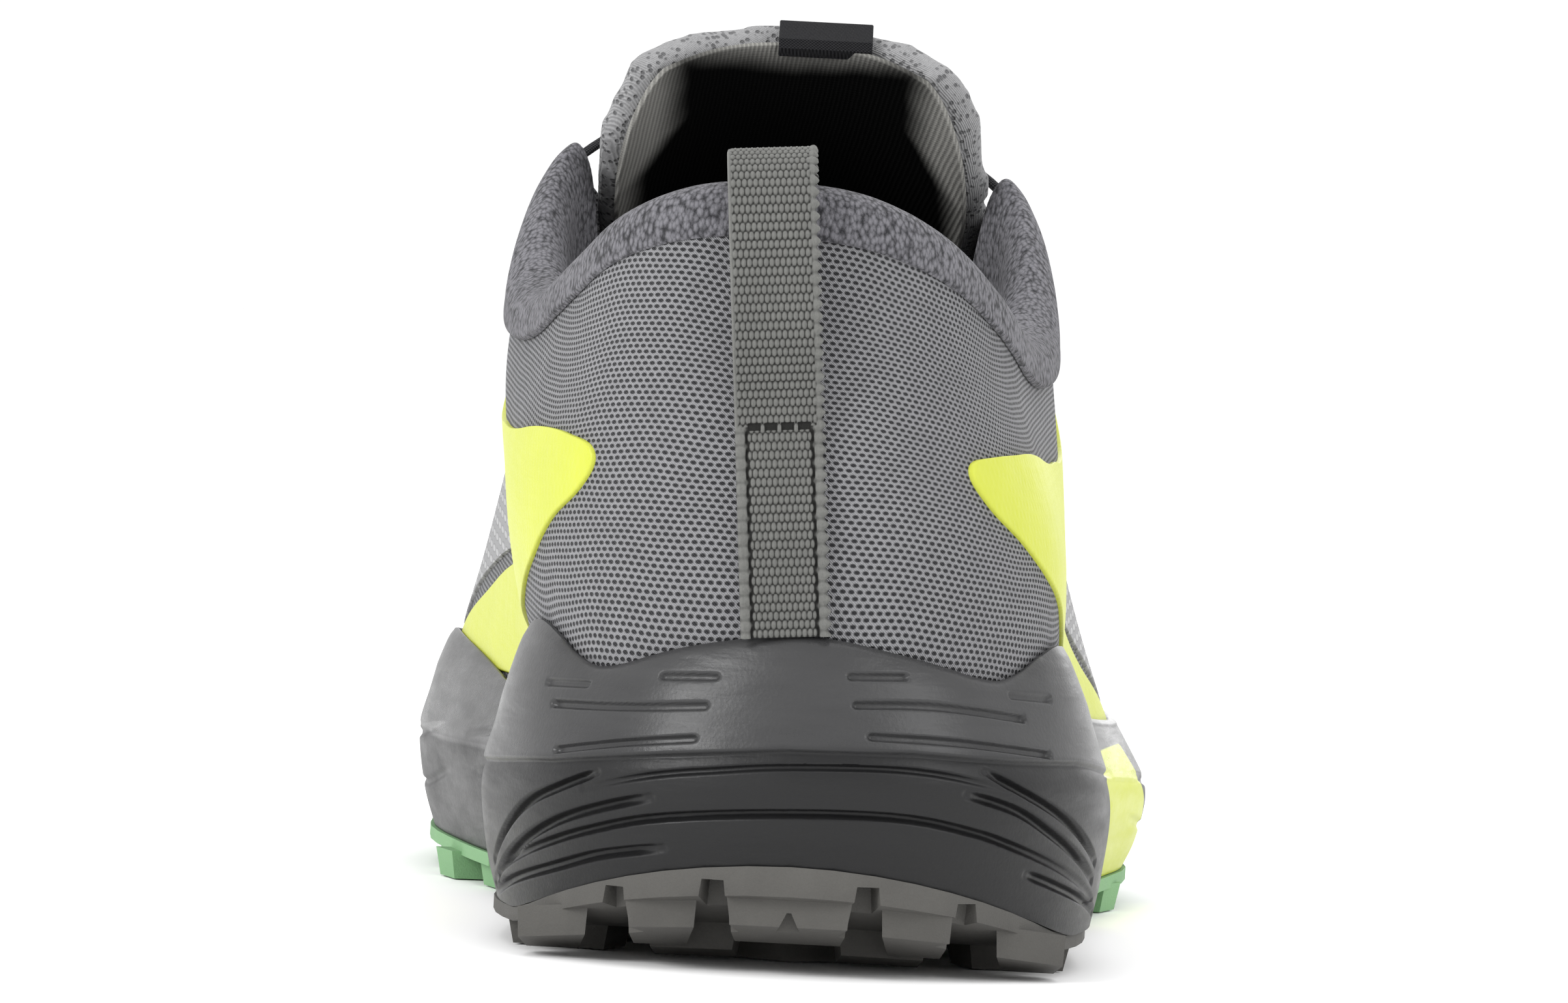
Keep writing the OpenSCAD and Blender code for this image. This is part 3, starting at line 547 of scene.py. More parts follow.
def walk_rings(points, triangles, ring, behind, count):
    """The rings that follow a closed ring of a triangulated grid, away from the ring behind it."""
    across = {}
    for a, b, c in triangles:
        for p, q, r in ((a, b, c), (b, c, a), (c, a, b)):
            across.setdefault(frozenset((p, q)), []).append(r)
    rings = [ring]
    seen = set(ring) | set(behind)
    for _ in range(count):
        row = rings[-1]
        onward = []
        for i, v in enumerate(row):
            third = [w for w in across[frozenset((v, row[(i + 1) % len(row)]))] if w not in seen]
            onward.append(third[0])
        straight = np.abs(points[onward] - points[row]).sum()
        skewed = np.abs(points[onward] - points[row[1:] + row[:1]]).sum()
        if skewed < straight:
            onward = onward[-1:] + onward[:-1]
        rings.append(onward)
        seen |= set(onward)
    return rings


def catmull(a, b, c, d, t):
    square = 2 * a - 5 * b + 4 * c - d
    cube = 3 * b - a - 3 * c + d
    return 0.5 * (2 * b + (c - a) * t + square * t * t + cube * t ** 3)


def through(values, t):
    """A smooth curve through the rows of a table, for t from 0 to 1."""
    values = np.asarray(values, float)
    t = np.asarray(t, float)
    x = t * (len(values) - 1)
    i = np.clip(np.floor(x).astype(int), 0, len(values) - 2)
    held = [values[np.clip(i + k, 0, len(values) - 1)] for k in (-1, 0, 1, 2)]
    w = (x - i).reshape(x.shape + (1,) * (values.ndim - 1))
    return catmull(*held, w)


def ease(low, high, value):
    t = np.clip((value - low) / (high - low), 0, 1)
    return t * t * (3 - 2 * t)


ROWS = 24                 # control rows round the shoe: 0 heel, 6 outer side, 12 toe, 18 inner side


class Skin:
    """A smooth surface through a CAD grid: s runs round the shoe in control rows, v up between its levels."""

    def __init__(self, grid, levels):
        self.grid = grid
        self.levels = np.asarray(levels, float)
        self.columns = grid.shape[1]

    def at(self, s, v):
        s, v = np.broadcast_arrays(np.asarray(s, float), np.asarray(v, float))
        x = np.mod(s, ROWS) * self.columns / ROWS
        i = np.floor(x).astype(int)
        t = (x - i)[..., None]
        last = len(self.levels) - 1
        k = np.clip(np.searchsorted(self.levels, v, side="right") - 1, 0, last - 1)

        def point(row):
            row = np.clip(row, 0, last)
            return catmull(*[self.grid[row, (i + c) % self.columns] for c in (-1, 0, 1, 2)], t)

        def knot(row):
            return self.levels[np.clip(row, 0, last)][..., None]

        before, low, high, after = (point(k + n) for n in (-1, 0, 1, 2))
        span = knot(k + 1) - knot(k)
        slope_low = (high - before) / (knot(k + 1) - knot(k - 1)) * span
        slope_high = (after - low) / (knot(k + 2) - knot(k)) * span
        w = (v[..., None] - knot(k)) / span
        w2, w3 = w * w, w * w * w
        return ((2 * w3 - 3 * w2 + 1) * low + (w3 - 2 * w2 + w) * slope_low
                + (3 * w2 - 2 * w3) * high + (w3 - w2) * slope_high)

    def normal(self, s, v):
        reach = 0.012 * self.levels[-1]
        low = np.maximum(v - reach, self.levels[0])
        high = np.minimum(v + reach, self.levels[-1])
        return unit(np.cross(self.at(s + 0.03, v) - self.at(s - 0.03, v), self.at(s, high) - self.at(s, low)))

    def layer(self, s, v, off):
        s, v = np.broadcast_arrays(np.asarray(s, float), np.asarray(v, float))
        return self.at(s, v) + self.normal(s, v) * np.asarray(off)[..., None]


def upper_skin():
    levels = [0, 0.07, 0.14, 0.24, 0.27, 0.36, 0.46, 0.56, 0.66, 0.77, 0.88, 1]
    points, triangles = welded("upper_mesh")
    outer, inner = rim_rings(points, triangles, width=1.0, above=50)
    rings = walk_rings(points, triangles, outer, inner, len(levels) - 1)
    return Skin(points[np.array(rings[::-1])], levels)


def sole_skin():
    """The midsole's wall: level 0 is its bottom edge, 4 its top edge, 5 to 8 go down inside its cup."""
    points, triangles = welded("midsole")
    outer, inner = rim_rings(points, triangles, width=1.6, above=20, level=True)
    down = walk_rings(points, triangles, outer, inner, 4)
    inside = walk_rings(points, triangles, inner, outer, 3)
    return Skin(points[np.array(down[::-1] + inside)], range(9))


UPPER = upper_skin()
SOLE = sole_skin()

# ---------- making meshes ----------


def add_piece(name, mesh, paint, body):
    mesh.materials.append(PAINTS[paint])
    piece = new_object(name, mesh)
    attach(piece, body)
    return piece


def quad_mesh(name, points, quads, sharp=None):
    """A mesh of quads from points in millimetres, with its wrap coordinates."""
    mesh = bpy.data.meshes.new(name)
    quads = np.asarray(quads)
    mesh.vertices.add(len(points))
    mesh.vertices.foreach_set("co", (np.asarray(points) * MM).astype(np.float32).ravel())
    mesh.loops.add(quads.size)
    mesh.loops.foreach_set("vertex_index", quads.astype(np.int32).ravel())
    mesh.polygons.add(len(quads))
    mesh.polygons.foreach_set("loop_start", np.arange(0, quads.size, 4, dtype=np.int32))
    mesh.update(calc_edges=True)
    mesh.polygons.foreach_set("use_smooth", np.ones(len(quads), bool))
    set_wrap(mesh)
    if sharp:
        mesh.set_sharp_from_angle(angle=math.radians(sharp))
    return mesh


def coordinates(mesh):
    co = np.empty(len(mesh.vertices) * 3)
    mesh.vertices.foreach_get("co", co)
    return co.reshape(-1, 3)


def move_points(mesh, co):
    mesh.vertices.foreach_set("co", co.astype(np.float32).ravel())
    mesh.update()


def corner_points(mesh):
    """The number of the point at each face corner."""
    corner = np.empty(len(mesh.loops), np.int64)
    mesh.loops.foreach_get("vertex_index", corner)
    return corner


def set_wrap(mesh):
    """Writes the wrap coordinates; faces that cross the mirror line on top use the outer side's numbers."""
    far_round = 30
    corner = corner_points(mesh)
    start = np.empty(len(mesh.polygons), np.int64)
    mesh.polygons.foreach_get("loop_start", start)
    uv = wrap_place(coordinates(mesh) / MM)[corner]
    high = np.maximum.reduceat(uv[:, 0], start)
    low = np.minimum.reduceat(uv[:, 0], start)
    counts = np.diff(np.append(start, len(corner)))
    crossing = np.repeat((high > far_round) & (low < -far_round), counts)
    uv[crossing, 0] = np.abs(uv[crossing, 0])
    layer = mesh.uv_layers.get("wrap") or mesh.uv_layers.new(name="wrap")
    layer.data.foreach_set("uv", uv.astype(np.float32).ravel())


def set_field(mesh, name, values):
    """Keeps two numbers for each point of a mesh, for its paint to read."""
    layer = mesh.uv_layers.new(name=name)
    layer.data.foreach_set("uv", np.asarray(values, np.float32)[corner_points(mesh)].ravel())


def face_out(mesh, close=False):
    """Turns every face of a closed mesh outwards; close fills its open ends first."""
    work = bmesh.new()
    work.from_mesh(mesh)
    if close:
        bmesh.ops.holes_fill(work, edges=work.edges, sides=0)
    bmesh.ops.recalc_face_normals(work, faces=work.faces)
    work.to_mesh(mesh)
    work.free()


def grid_quads(m, n, loop=False, tube=False):
    """Quads of a grid of m columns by n rows; loop joins its last column to its first, tube its rows."""
    i, j = np.meshgrid(np.arange(m if loop else m - 1), np.arange(n if tube else n - 1), indexing="ij")
    next_i, next_j = (i + 1) % m, (j + 1) % n
    corners = [i * n + j, next_i * n + j, next_i * n + next_j, i * n + next_j]
    return np.stack(corners, -1).reshape(-1, 4)


def sheet_quads(m, n, loop=False):
    """Quads of two facing grids of m columns by n rows, outer first, joined round their edges."""
    outer = grid_quads(m, n, loop)
    o = m * n
    i = np.arange(m if loop else m - 1)
    k = (i + 1) % m
    low = np.stack([i * n, o + i * n, o + k * n, k * n], -1)
    top = np.stack([i * n + n - 1, k * n + n - 1, o + k * n + n - 1, o + i * n + n - 1], -1)
    parts = [outer, outer[:, ::-1] + o, low, top]
    if not loop:
        j = np.arange(n - 1)
        e = (m - 1) * n
        parts.append(np.stack([j, j + 1, o + j + 1, o + j], -1))
        parts.append(np.stack([e + j, o + e + j, o + e + j + 1, e + j + 1], -1))
    return np.concatenate(parts)


def sheet_mesh(name, outer, inner, loop=False, sharp=50):
    m, n = outer.shape[:2]
    points = np.concatenate([outer.reshape(-1, 3), inner.reshape(-1, 3)])
    return quad_mesh(name, points, sheet_quads(m, n, loop), sharp)


def spread(count, gather=0.85):
    """Numbers from 0 to 1 that gather towards both ends."""
    t = np.linspace(0, 1, count)
    return (1 - gather) * t + gather * 0.5 * (1 - np.cos(math.pi * t))


def patch_piece(name, rows, off, thick, paint, columns=56):
    """A film on the upper between two outlines; rows hold height, start and end along the shoe."""
    lines, edge_width, edge_thick = 72, 0.7, 0.1
    r, c = np.meshgrid(spread(lines), spread(columns), indexing="xy")
    height, start, end = np.moveaxis(through(rows, r), -1, 0)
    s = start + (end - start) * c
    base = UPPER.at(s, height)
    across = np.linalg.norm(np.diff(base, axis=0), axis=-1).cumsum(0)
    across = np.concatenate([np.zeros((1, lines)), across])
    along = np.linalg.norm(np.diff(base, axis=1), axis=-1).cumsum(1)
    along = np.concatenate([np.zeros((columns, 1)), along], 1)
    edge = np.minimum.reduce([across, across[-1:] - across, along, along[:, -1:] - along])
    crown = np.clip(edge / edge_width, 0, 1)
    lift = edge_thick + (thick - edge_thick) * np.sqrt(1 - (1 - crown) ** 2)
    under = UPPER.layer(s, height, off + 0 * lift)
    mesh = sheet_mesh(name, UPPER.layer(s, height, off + lift), under, sharp=70)
    return add_piece(name, mesh, paint, "shoe")


def band_piece(name, s_range, v_range, off, thick, paint):
    """A plain layer of the upper over a range of control rows and heights."""
    s, v = np.meshgrid(np.linspace(*s_range, 160), np.linspace(*v_range, 40), indexing="ij")
    mesh = sheet_mesh(name, UPPER.layer(s, v, off + thick + 0 * s), UPPER.layer(s, v, off + 0 * s))
    return add_piece(name, mesh, paint, "shoe")


def joined(name, node_names):
    """One new object from the meshes of some CAD nodes."""
    work = bmesh.new()
    for node in node_names:
        work.from_mesh(nodes[node].data)
    bmesh.ops.remove_doubles(work, verts=work.verts, dist=WELD)
    mesh = bpy.data.meshes.new(name)
    work.to_mesh(mesh)
    work.free()
    return new_object(name, mesh)


def subdivide(obj, levels):
    finer = obj.modifiers.new("finer", "SUBSURF")
    finer.levels = finer.render_levels = levels
    return finer


def soften(obj, width):
    """Rounds an object's moulded edges, without moving its faces."""
    soft = obj.modifiers.new("soft_edges", "BEVEL")
    soft.width = width * MM
    soft.segments = 3
    soft.limit_method = "ANGLE"
    soft.angle_limit = math.radians(32)
    return soft


def smooth_copy(name, node, levels):
    """A CAD node's mesh as quads, subdivided with its sharp edges kept."""
    sharp, skew, crease = math.radians(40), math.radians(60), 0.8
    piece = joined(name, [node])
    work = bmesh.new()
    work.from_mesh(piece.data)
    bmesh.ops.join_triangles(work, faces=work.faces, angle_face_threshold=sharp, angle_shape_threshold=skew)
    hard = work.edges.layers.float.new("crease_edge")
    for edge in work.edges:
        if len(edge.link_faces) == 2 and edge.calc_face_angle(0) > sharp:
            edge[hard] = crease
    work.to_mesh(piece.data)
    work.free()
    subdivide(piece, levels).boundary_smooth = "PRESERVE_CORNERS"
    return baked(piece)


def baked(piece):
    """Applies a piece's modifiers to a mesh of its own."""
    bpy.context.view_layer.update()
    graph = bpy.context.evaluated_depsgraph_get()
    result = bpy.data.meshes.new_from_object(piece.evaluated_get(graph))
    result.name = piece.name
    piece.modifiers.clear()
    piece.data = result
    result.polygons.foreach_set("use_smooth", np.ones(len(result.polygons), bool))
    return piece


def dress(piece, paint, body):
    """Gives a finished mesh its material, wrap coordinates and body."""
    piece.data.materials.clear()
    piece.data.materials.append(PAINTS[paint])
    set_wrap(piece.data)
    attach(piece, body)
    return piece


def refinish(node, paint, bevel=0.0, round_levels=0):
    """Keeps a CAD node's shape: gives it a material and softer edges."""
    obj = nodes[node]
    for index in range(len(obj.material_slots)):
        obj.material_slots[index].link = "OBJECT"
        obj.material_slots[index].material = PAINTS[paint]
    join = obj.modifiers.new("join", "WELD")
    join.merge_threshold = WELD
    if round_levels:
        subdivide(obj, round_levels)
    if bevel:
        soften(obj, bevel).harden_normals = True


# ---------- sole ----------


def near_line(u, z, line):
    """Distance from each place on the wall to a curve, and the share along the curve where it is nearest."""
    curve = through(line, np.linspace(0, 1, 40))
    best = np.full(u.shape, 1e9)
    share = np.zeros(u.shape)
    for k in range(len(curve) - 1):
        a, b = curve[k], curve[k + 1]
        d = b - a
        t = np.clip(((u - a[0]) * d[0] + (z - a[1]) * d[1]) / (d @ d), 0, 1)
        gap = np.hypot(u - a[0] - t * d[0], z - a[1] - t * d[1])
        closer = gap < best
        best = np.where(closer, gap, best)
        share = np.where(closer, (k + t) / (len(curve) - 1), share)
    return best, share


# Short slots and long grooves on the midsole. Each line is a width, a depth and the curves that share them,
# whose points are the distance round the shoe from the heel's centre and the height.
SLOTS = [
    (1.2, 0.7, [[(-20, 38.8), (-12, 39.2)], [(6.7, 40.2), (14.7, 40.4)]]),
    (1.3, 0.8, [[(-40.7, 33.8), (-25, 34.5), (-13, 35.4)], [(7.5, 36.6), (19.6, 36.7), (36.7, 35.2)],
                [(-36.4, 27.9), (-23.7, 29.8), (-13.9, 31)], [(9.5, 32.5), (23, 32), (40.7, 30.4)]]),
    (1.2, 0.5, [[(-44, 36.4), (-34, 36.8)], [(35, 38.2), (45, 37.6)]])]
GROOVES = [
    (1.7, 1.35, [[(-64, 11), (-46, 19.3), (-35, 23), (-27.8, 25.4)],
                 [(26, 28.4), (34, 25.2), (46, 21), (62, 15)],
                 [(-64, 8.6), (-40, 17), (-30, 20.1), (-19.3, 22.8)],
                 [(23, 25.2), (32, 23), (42, 19.3), (62, 12.5)]]),
    (1.5, 1.2, [[(-70, 7.5), (-42.5, 14.3), (-30, 17.5), (-18.3, 20.1), (-1.7, 21.7), (13.7, 21.8),
                 (25.6, 19.9), (36, 17.2), (66, 9.5)]]),
    (1.2, 0.7, [[(-30, 23.2), (-19.2, 25.7), (-10.3, 27), (-2, 27.9), (10.5, 28.3), (19.6, 27.7),
                 (30, 25.8)]]),
    (1.7, 1.2, [[(-74, 5.6), (-41.5, 11.3), (-28, 14.4), (-17.8, 16.1)],
                [(36, 14.4), (50, 11.5), (74, 7.4)]]),
    (2.0, 0.6, [[(84, 9), (110, 16), (140, 19), (168, 17)],
                [(80, 14), (108, 21), (140, 24), (176, 21)],
                [(-84, 9), (-110, 16), (-140, 19), (-168, 17)],
                [(-80, 14), (-108, 21), (-140, 25), (-176, 22)]]),
    (1.8, 0.4, [[(190, 14), (225, 11), (262, 12)], [(-190, 16), (-225, 12), (-262, 14)],
                [(198, 20), (235, 17), (276, 19)], [(-198, 22), (-235, 19), (-276, 21)]])]
# The shelf line that ends the satin upper part, as the same kind of points
SHELF = [(-300, 22), (-200, 20), (-120, 22), (-62, 24.8), (-37, 26.4), (-19, 28.4), (-2, 30.1), (15, 30.4),
         (31, 29.6), (50, 29), (120, 23), (200, 19), (300, 22)]
PATCH_START = 158         # the neon patch: where it starts and ends round the shoe, at the height PATCH_FOOT
PATCH_END = 212
PATCH_FOOT = 10
PATCH_TOP = 24.5
PATCH_LEAN = 0.9


def shelf_height(u):
    return np.interp(u, *np.array(SHELF).T)


def patch_depth(u, z):
    """Distance inside the neon patch on the outer side of the forefoot, negative outside it."""
    lean = PATCH_LEAN * (z - PATCH_FOOT)
    return np.minimum.reduce([u - PATCH_START - lean, PATCH_END - lean - u, PATCH_TOP - z])


def midsole_relief(u, z):
    """How far the wall stands out from its CAD surface, in millimetres."""
    step_depth, step_fade, hollow_depth, hollow_height = 0.8, 1.6, 0.25, 9
    relief = np.zeros(u.shape)
    above = z - shelf_height(u)
    for width, depth, lines in SLOTS:
        for line in lines:
            gap, _ = near_line(u, z, line)
            relief -= depth * (1 - ease(0.2 * width, 0.55 * width, gap))
    for width, depth, lines in GROOVES:
        for line in lines:
            gap, share = near_line(u, z, line)
            taper = np.clip(np.minimum(share, 1 - share) * 6, 0.25, 1)
            relief -= depth * taper * (1 - ease(0.12 * width, 0.52 * width, gap))
    rearward = 0.25 + 0.75 * (1 - ease(60, 130, np.abs(u)))
    step = np.exp(-np.maximum(-above, 0) / step_fade) * ease(-0.5, 0.3, -above)
    hollow = np.sin(np.clip(above, 0, hollow_height) / hollow_height * math.pi) * (above > 0)
    return relief - step_depth * rearward * step - hollow_depth * hollow


def cross_strips(ring, first, up):
    """Closes a ring with strips straight across the sole; first is the number of its first new point."""
    count = 20
    toe = int(np.argmax(ring[:, 1]))
    heel = int(np.argmin(ring[:, 1]))
    order = np.arange(len(ring))
    right = np.roll(order, -heel)[:(toe - heel) % len(ring) + 1]
    left = np.roll(order, -toe)[:(heel - toe) % len(ring) + 1][::-1]
    t = np.linspace(0.004, 0.996, len(ring) // 6)
    a = through(ring[right], t)
    b = through(ring[left], t)
    w = np.linspace(0, 1, count)[None, :, None]
    points = (a[:, None] * (1 - w) + b[:, None] * w).reshape(-1, 3)
    quads = grid_quads(len(t), count)
    return points, (quads if up else quads[:, ::-1]) + first


ARCH_DIP = 5.5            # how much lower the midsole's edge runs under the arch, on the inner side
# The control rows where the dip starts, is full, begins to end and has ended
ARCH_ROWS = (15.6, 18.2, 19.4, 20.9)


def midsole_wall():
    """Places up the midsole's wall and down inside its cup, and their wrap coordinates without relief.

    The columns are fine round the heel, where the grooves are, and coarser further forward.
    """
    fine_to, fine, coarse = 5.6, 1 / 56, 1 / 26
    s = np.concatenate([np.arange(-fine_to, fine_to, fine), np.arange(fine_to, ROWS - fine_to, coarse)])
    levels = np.concatenate([np.linspace(0, 4, 196), np.linspace(4, 5, 4)[1:], np.linspace(5, 8, 16)[1:]])
    grid_s, grid_v = np.meshgrid(s, levels, indexing="ij")
    wall = SOLE.at(grid_s, grid_v)
    around = np.mod(grid_s, ROWS)
    start, full, fading, end = ARCH_ROWS
    dip = ease(start, full, around) * (1 - ease(fading, end, around))
    wall[..., 2] -= ARCH_DIP * dip * ease(2, 4, grid_v) * (1 - ease(5, 8, grid_v))
    place = wrap_place(wall)
    inside_edges = ease(0.0, 0.25, grid_v) * (1 - ease(3.85, 4.0, grid_v))
    relief = midsole_relief(place[..., 0], wall[..., 2]) * inside_edges
    return wall + SOLE.normal(grid_s, np.minimum(grid_v, 4.0)) * relief[..., None], place


def build_midsole():
    wall, place = midsole_wall()
    m, n = wall.shape[:2]
    points = wall.reshape(-1, 3)
    floor, under = cross_strips(wall[:, -1], len(points), up=True)
    points = np.concatenate([points, floor])
    base, below = cross_strips(wall[:, 0], len(points), up=False)
    points = np.concatenate([points, base])
    quads = np.concatenate([grid_quads(m, n, loop=True), under, below])
    mesh = quad_mesh("midsole_body", points, quads, sharp=60)
    # The paint reads the height above the shelf line for its painted light and shade, and the depth inside
    # the neon patch
    zone = np.full((len(points), 2), -10.0)
    u, height = place[..., 0].ravel(), wall[..., 2].ravel()
    zone[:m * n] = np.stack([height - shelf_height(u), patch_depth(u, height)], -1)
    set_field(mesh, "zone", zone)
    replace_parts(add_piece("midsole_body", mesh, "midsole", "shoe"), "midsole")


build_midsole()


# Recesses in the heel rubber's rear face: place across, share of its height, half widths from foot to top
RECESSES = [(x, 1.0, (2.6, 2.2, 1.5)) for x in (-22.5, -8.5, 12.0, 26.5)] + [(1.75, 0.64, (3.4, 1.9, 0.3))]


def notch_mesh(name, points, x, share, halves):
    """A tapered wedge to cut a recess up the rear face of the heel rubber."""
    near = points[(np.abs(points[:, 0] - x) < 3.5) & (points[:, 1] < -100)]
    rear = near[:, 1].min()
    top = share * (near[near[:, 1] < rear + 4][:, 2].max() - 1.5)
    away = unit(np.array([x - SPINE_X, rear - HEEL_Y]))
    side = np.array([-away[1], away[0]])
    depths, heights, clear = (6.5, 5.5, 4.2), (-1.0, 0.6 * top, top), 6.0
    corners = []
    for half, depth, z in zip(halves, depths, heights):
        for a, b in ((-1, -1), (1, -1), (1, 1), (-1, 1)):
            reach = clear if b > 0 else -depth
            spot = np.array([x, rear]) + side * half * a + away * reach
            corners.append((spot[0] * MM, spot[1] * MM, z * MM))
    walls = [(k + i, k + (i + 1) % 4, k + 4 + (i + 1) % 4, k + 4 + i) for k in (0, 4) for i in range(4)]
    mesh = bpy.data.meshes.new(name)
    mesh.from_pydata(corners, [], [(3, 2, 1, 0), (8, 9, 10, 11)] + walls)
    face_out(mesh)
    return mesh


def build_heel_tread():
    tread = joined("heel_tread", ["outsole_heel"])
    points = coordinates(tread.data) / MM
    cutters = []
    for number, recess in enumerate(RECESSES):
        cutter = new_object(f"notch_{number}", notch_mesh(f"notch_{number}", points, *recess))
        cut = tread.modifiers.new(cutter.name, "BOOLEAN")
        cut.object = cutter
        cut.solver = "EXACT"
        cutters.append(cutter)
    soften(tread, 0.4)
    baked(tread)
    tread.data.set_sharp_from_angle(angle=math.radians(50))
    for cutter in cutters:
        bpy.data.objects.remove(cutter)
    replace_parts(dress(tread, "heel_rubber", "shoe"), "outsole_heel")


build_heel_tread()
refinish("outsole_forefoot", "mint_rubber", bevel=0.45)

# ---------- upper ----------


MESH_THICK = 1.0
MESH_FOOT = 0.12          # how far up its CAD surface the visible mesh starts, hidden by the midsole's cup


def build_upper():
    s, v = np.meshgrid(np.linspace(0, ROWS, 901)[:-1], np.linspace(MESH_FOOT, 1, 120), indexing="ij")
    mesh = sheet_mesh("upper_shell", UPPER.at(s, v), UPPER.layer(s, v, 0 * s - MESH_THICK), loop=True)
    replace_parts(add_piece("upper_shell", mesh, "mesh", "shoe"), "upper_mesh")


# Outlines of the films on the outer side: height, then the control rows where the film starts and ends
NEON = [(0.2, 4.6, 8.2), (0.27, 4.4, 8.0), (0.32, 3.6, 7.4), (0.38, 3.05, 6.5), (0.44, 2.72, 5.2),
        (0.5, 2.4, 4.3), (0.56, 2.0, 4.9), (0.61, 1.8, 5.7), (0.65, 1.9, 6.1), (0.675, 2.3, 6.3),
        (0.705, 2.95, 6.5), (0.78, 4.3, 6.8)]
SIDE = [(0.265, 8.3, 8.6), (0.34, 7.5, 8.5), (0.44, 5.6, 8.2), (0.52, 4.95, 7.8), (0.6, 6.1, 7.4),
        (0.68, 6.85, 7.25)]
STAY = [(0.8, 7.05, 11), (0.86, 6.95, 11.2), (0.92, 6.9, 11.4), (0.985, 6.85, 11.5)]
TOE = [(0.262, 8.7, 15.3), (0.32, 8.9, 15.1), (0.4, 9.3, 14.7), (0.462, 9.9, 14.1)]
INNER_START = 0.2         # how much further forward the films start on the inner side, in control rows
FILM_OFF = -0.15          # a film's underside is a little inside the mesh, so that it looks bonded


def mirrored(rows):
    """The same outline on the inner side."""
    return [(v, ROWS - end, ROWS - start - INNER_START) for v, start, end in rows]


def build_films():
    for side, turn in (("lateral", list), ("medial", mirrored)):
        for stem, rows, paint, slot in (("neon_overlay", NEON, "neon", "neon_film"),
                                        ("side_overlay", SIDE, "grey_film", "grey_film"),
                                        ("eyestay", STAY, "dark_film", "dark_film")):
            piece = patch_piece(f"{stem}_film_{side}", turn(rows), FILM_OFF, 0.75, paint)
            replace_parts(piece, f"{stem}_{side}")
    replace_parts(patch_piece("toe_film", TOE, FILM_OFF, 0.8, "dark_film", columns=120), "toe_cap")


def build_linings():
    pieces = (("vamp_liner", "vamp_lining", (7, 17), (0.14, 0.88), -1.8, 0.5, "lining"),
              ("quarter_liner", "quarter_lining", (-20 / 3, 20 / 3), (0.14, 0.66), -3.5, 0.6, "lining"),
              ("heel_stiffener", "heel_counter", (-4, 4), (0.14, 0.56), -2.6, 1.2, "counter"))
    for name, node, s_range, v_range, off, thick, paint in pieces:
        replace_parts(band_piece(name, s_range, v_range, off, thick, paint), node)


build_upper()
build_films()
build_linings()

# ---------- padded pieces ----------


SIM_FRAMES = 20


def relax(mesh, rounds):
    """Smooths a mesh by moving each point halfway to the middle of its neighbours."""
    co = coordinates(mesh)
    ends = np.empty(len(mesh.edges) * 2, np.int64)
    mesh.edges.foreach_get("vertices", ends)
    a, b = ends.reshape(-1, 2).T
    count = np.bincount(ends, minlength=len(co))[:, None]
    for _ in range(rounds):
        total = np.zeros_like(co)
        np.add.at(total, a, co[b])
        np.add.at(total, b, co[a])
        co += (total / np.maximum(count, 1) - co) * 0.5
    move_points(mesh, co)


def blown(piece, quality, pressure, cap, held=""):
    """Blows a pad up as cloth. Gives its places before that and how far each point moves, within the cap.

    The points of the group held, if there is one, are pinned.
    """
    rest = coordinates(piece.data)
    cloth = piece.modifiers.new("stuffing", "CLOTH")
    cloth.settings.quality = quality
    cloth.settings.mass = 0.2
    cloth.settings.vertex_group_mass = held
    cloth.settings.tension_stiffness = 12
    cloth.settings.compression_stiffness = 12
    cloth.settings.bending_stiffness = 0.4
    cloth.settings.use_pressure = True
    cloth.settings.uniform_pressure_force = pressure
    cloth.settings.effector_weights.gravity = 0
    cloth.point_cache.frame_start = 1
    cloth.point_cache.frame_end = SIM_FRAMES
    for number in range(1, SIM_FRAMES + 1):
        scene.frame_set(number)
    baked(piece)
    scene.frame_set(1)
    move = coordinates(piece.data) - rest
    far = np.linalg.norm(move, axis=1, keepdims=True)
    return rest, move * np.minimum(1, cap * MM / np.maximum(far, 1e-9))


def stuffed(piece, voxel, swell, pressure, cap, away):
    """Fills a pad: remeshes it evenly, swells it, blows it up as cloth and smooths its skin.

    Nothing moves against the direction away, where the pad lies on its lining.
    """
    grain = piece.modifiers.new("grain", "REMESH")
    grain.mode = "VOXEL"
    grain.voxel_size = voxel * MM
    baked(piece)
    push = piece.modifiers.new("push", "DISPLACE")
    push.mid_level = 0.0
    push.strength = swell * MM
    baked(piece)
    relax(piece.data, 7)
    rest, move = blown(piece, 6, pressure, cap)
    move -= np.minimum(move @ away, 0)[:, None] * away
    move_points(piece.data, rest + move)
    relax(piece.data, 2)
    subdivide(piece, 1)
    return baked(piece)


COLLAR_END = 20 / 3       # the control row where the collar stops, on both sides
COLLAR_COLUMNS = 330
COLLAR_COUNT = 54         # points round a section
# Where the roll starts on the mesh: control row and height
CREASE = [(0, 0.988), (4, 0.985), (5, 0.97), (5.6, 0.93), (6.2, 0.88), (6.67, 0.86)]


def rim_point(s, out, up):
    """A place beside the mesh's upper edge: up from the edge, and out from a line a little inside it."""
    inset = 1.3
    along = unit(UPPER.at(s + 0.1, 1) - UPPER.at(s - 0.1, 1))
    away = unit(np.cross(along, [0, 0, 1]))
    rise = np.cross(away, along)
    return UPPER.at(s, 1) + away * (np.asarray(out) - inset)[..., None] + rise * np.asarray(up)[..., None]


def closed_curve(points, count):
    """A smooth closed curve through a list of places, each an array with one row for each section."""
    points = np.asarray(points)
    x = np.linspace(0, len(points), count, endpoint=False)
    i = np.floor(x).astype(int)
    t = (x - i)[:, None, None]
    return catmull(*[points[(i + k) % len(points)] for k in (-1, 0, 1, 2)], t)


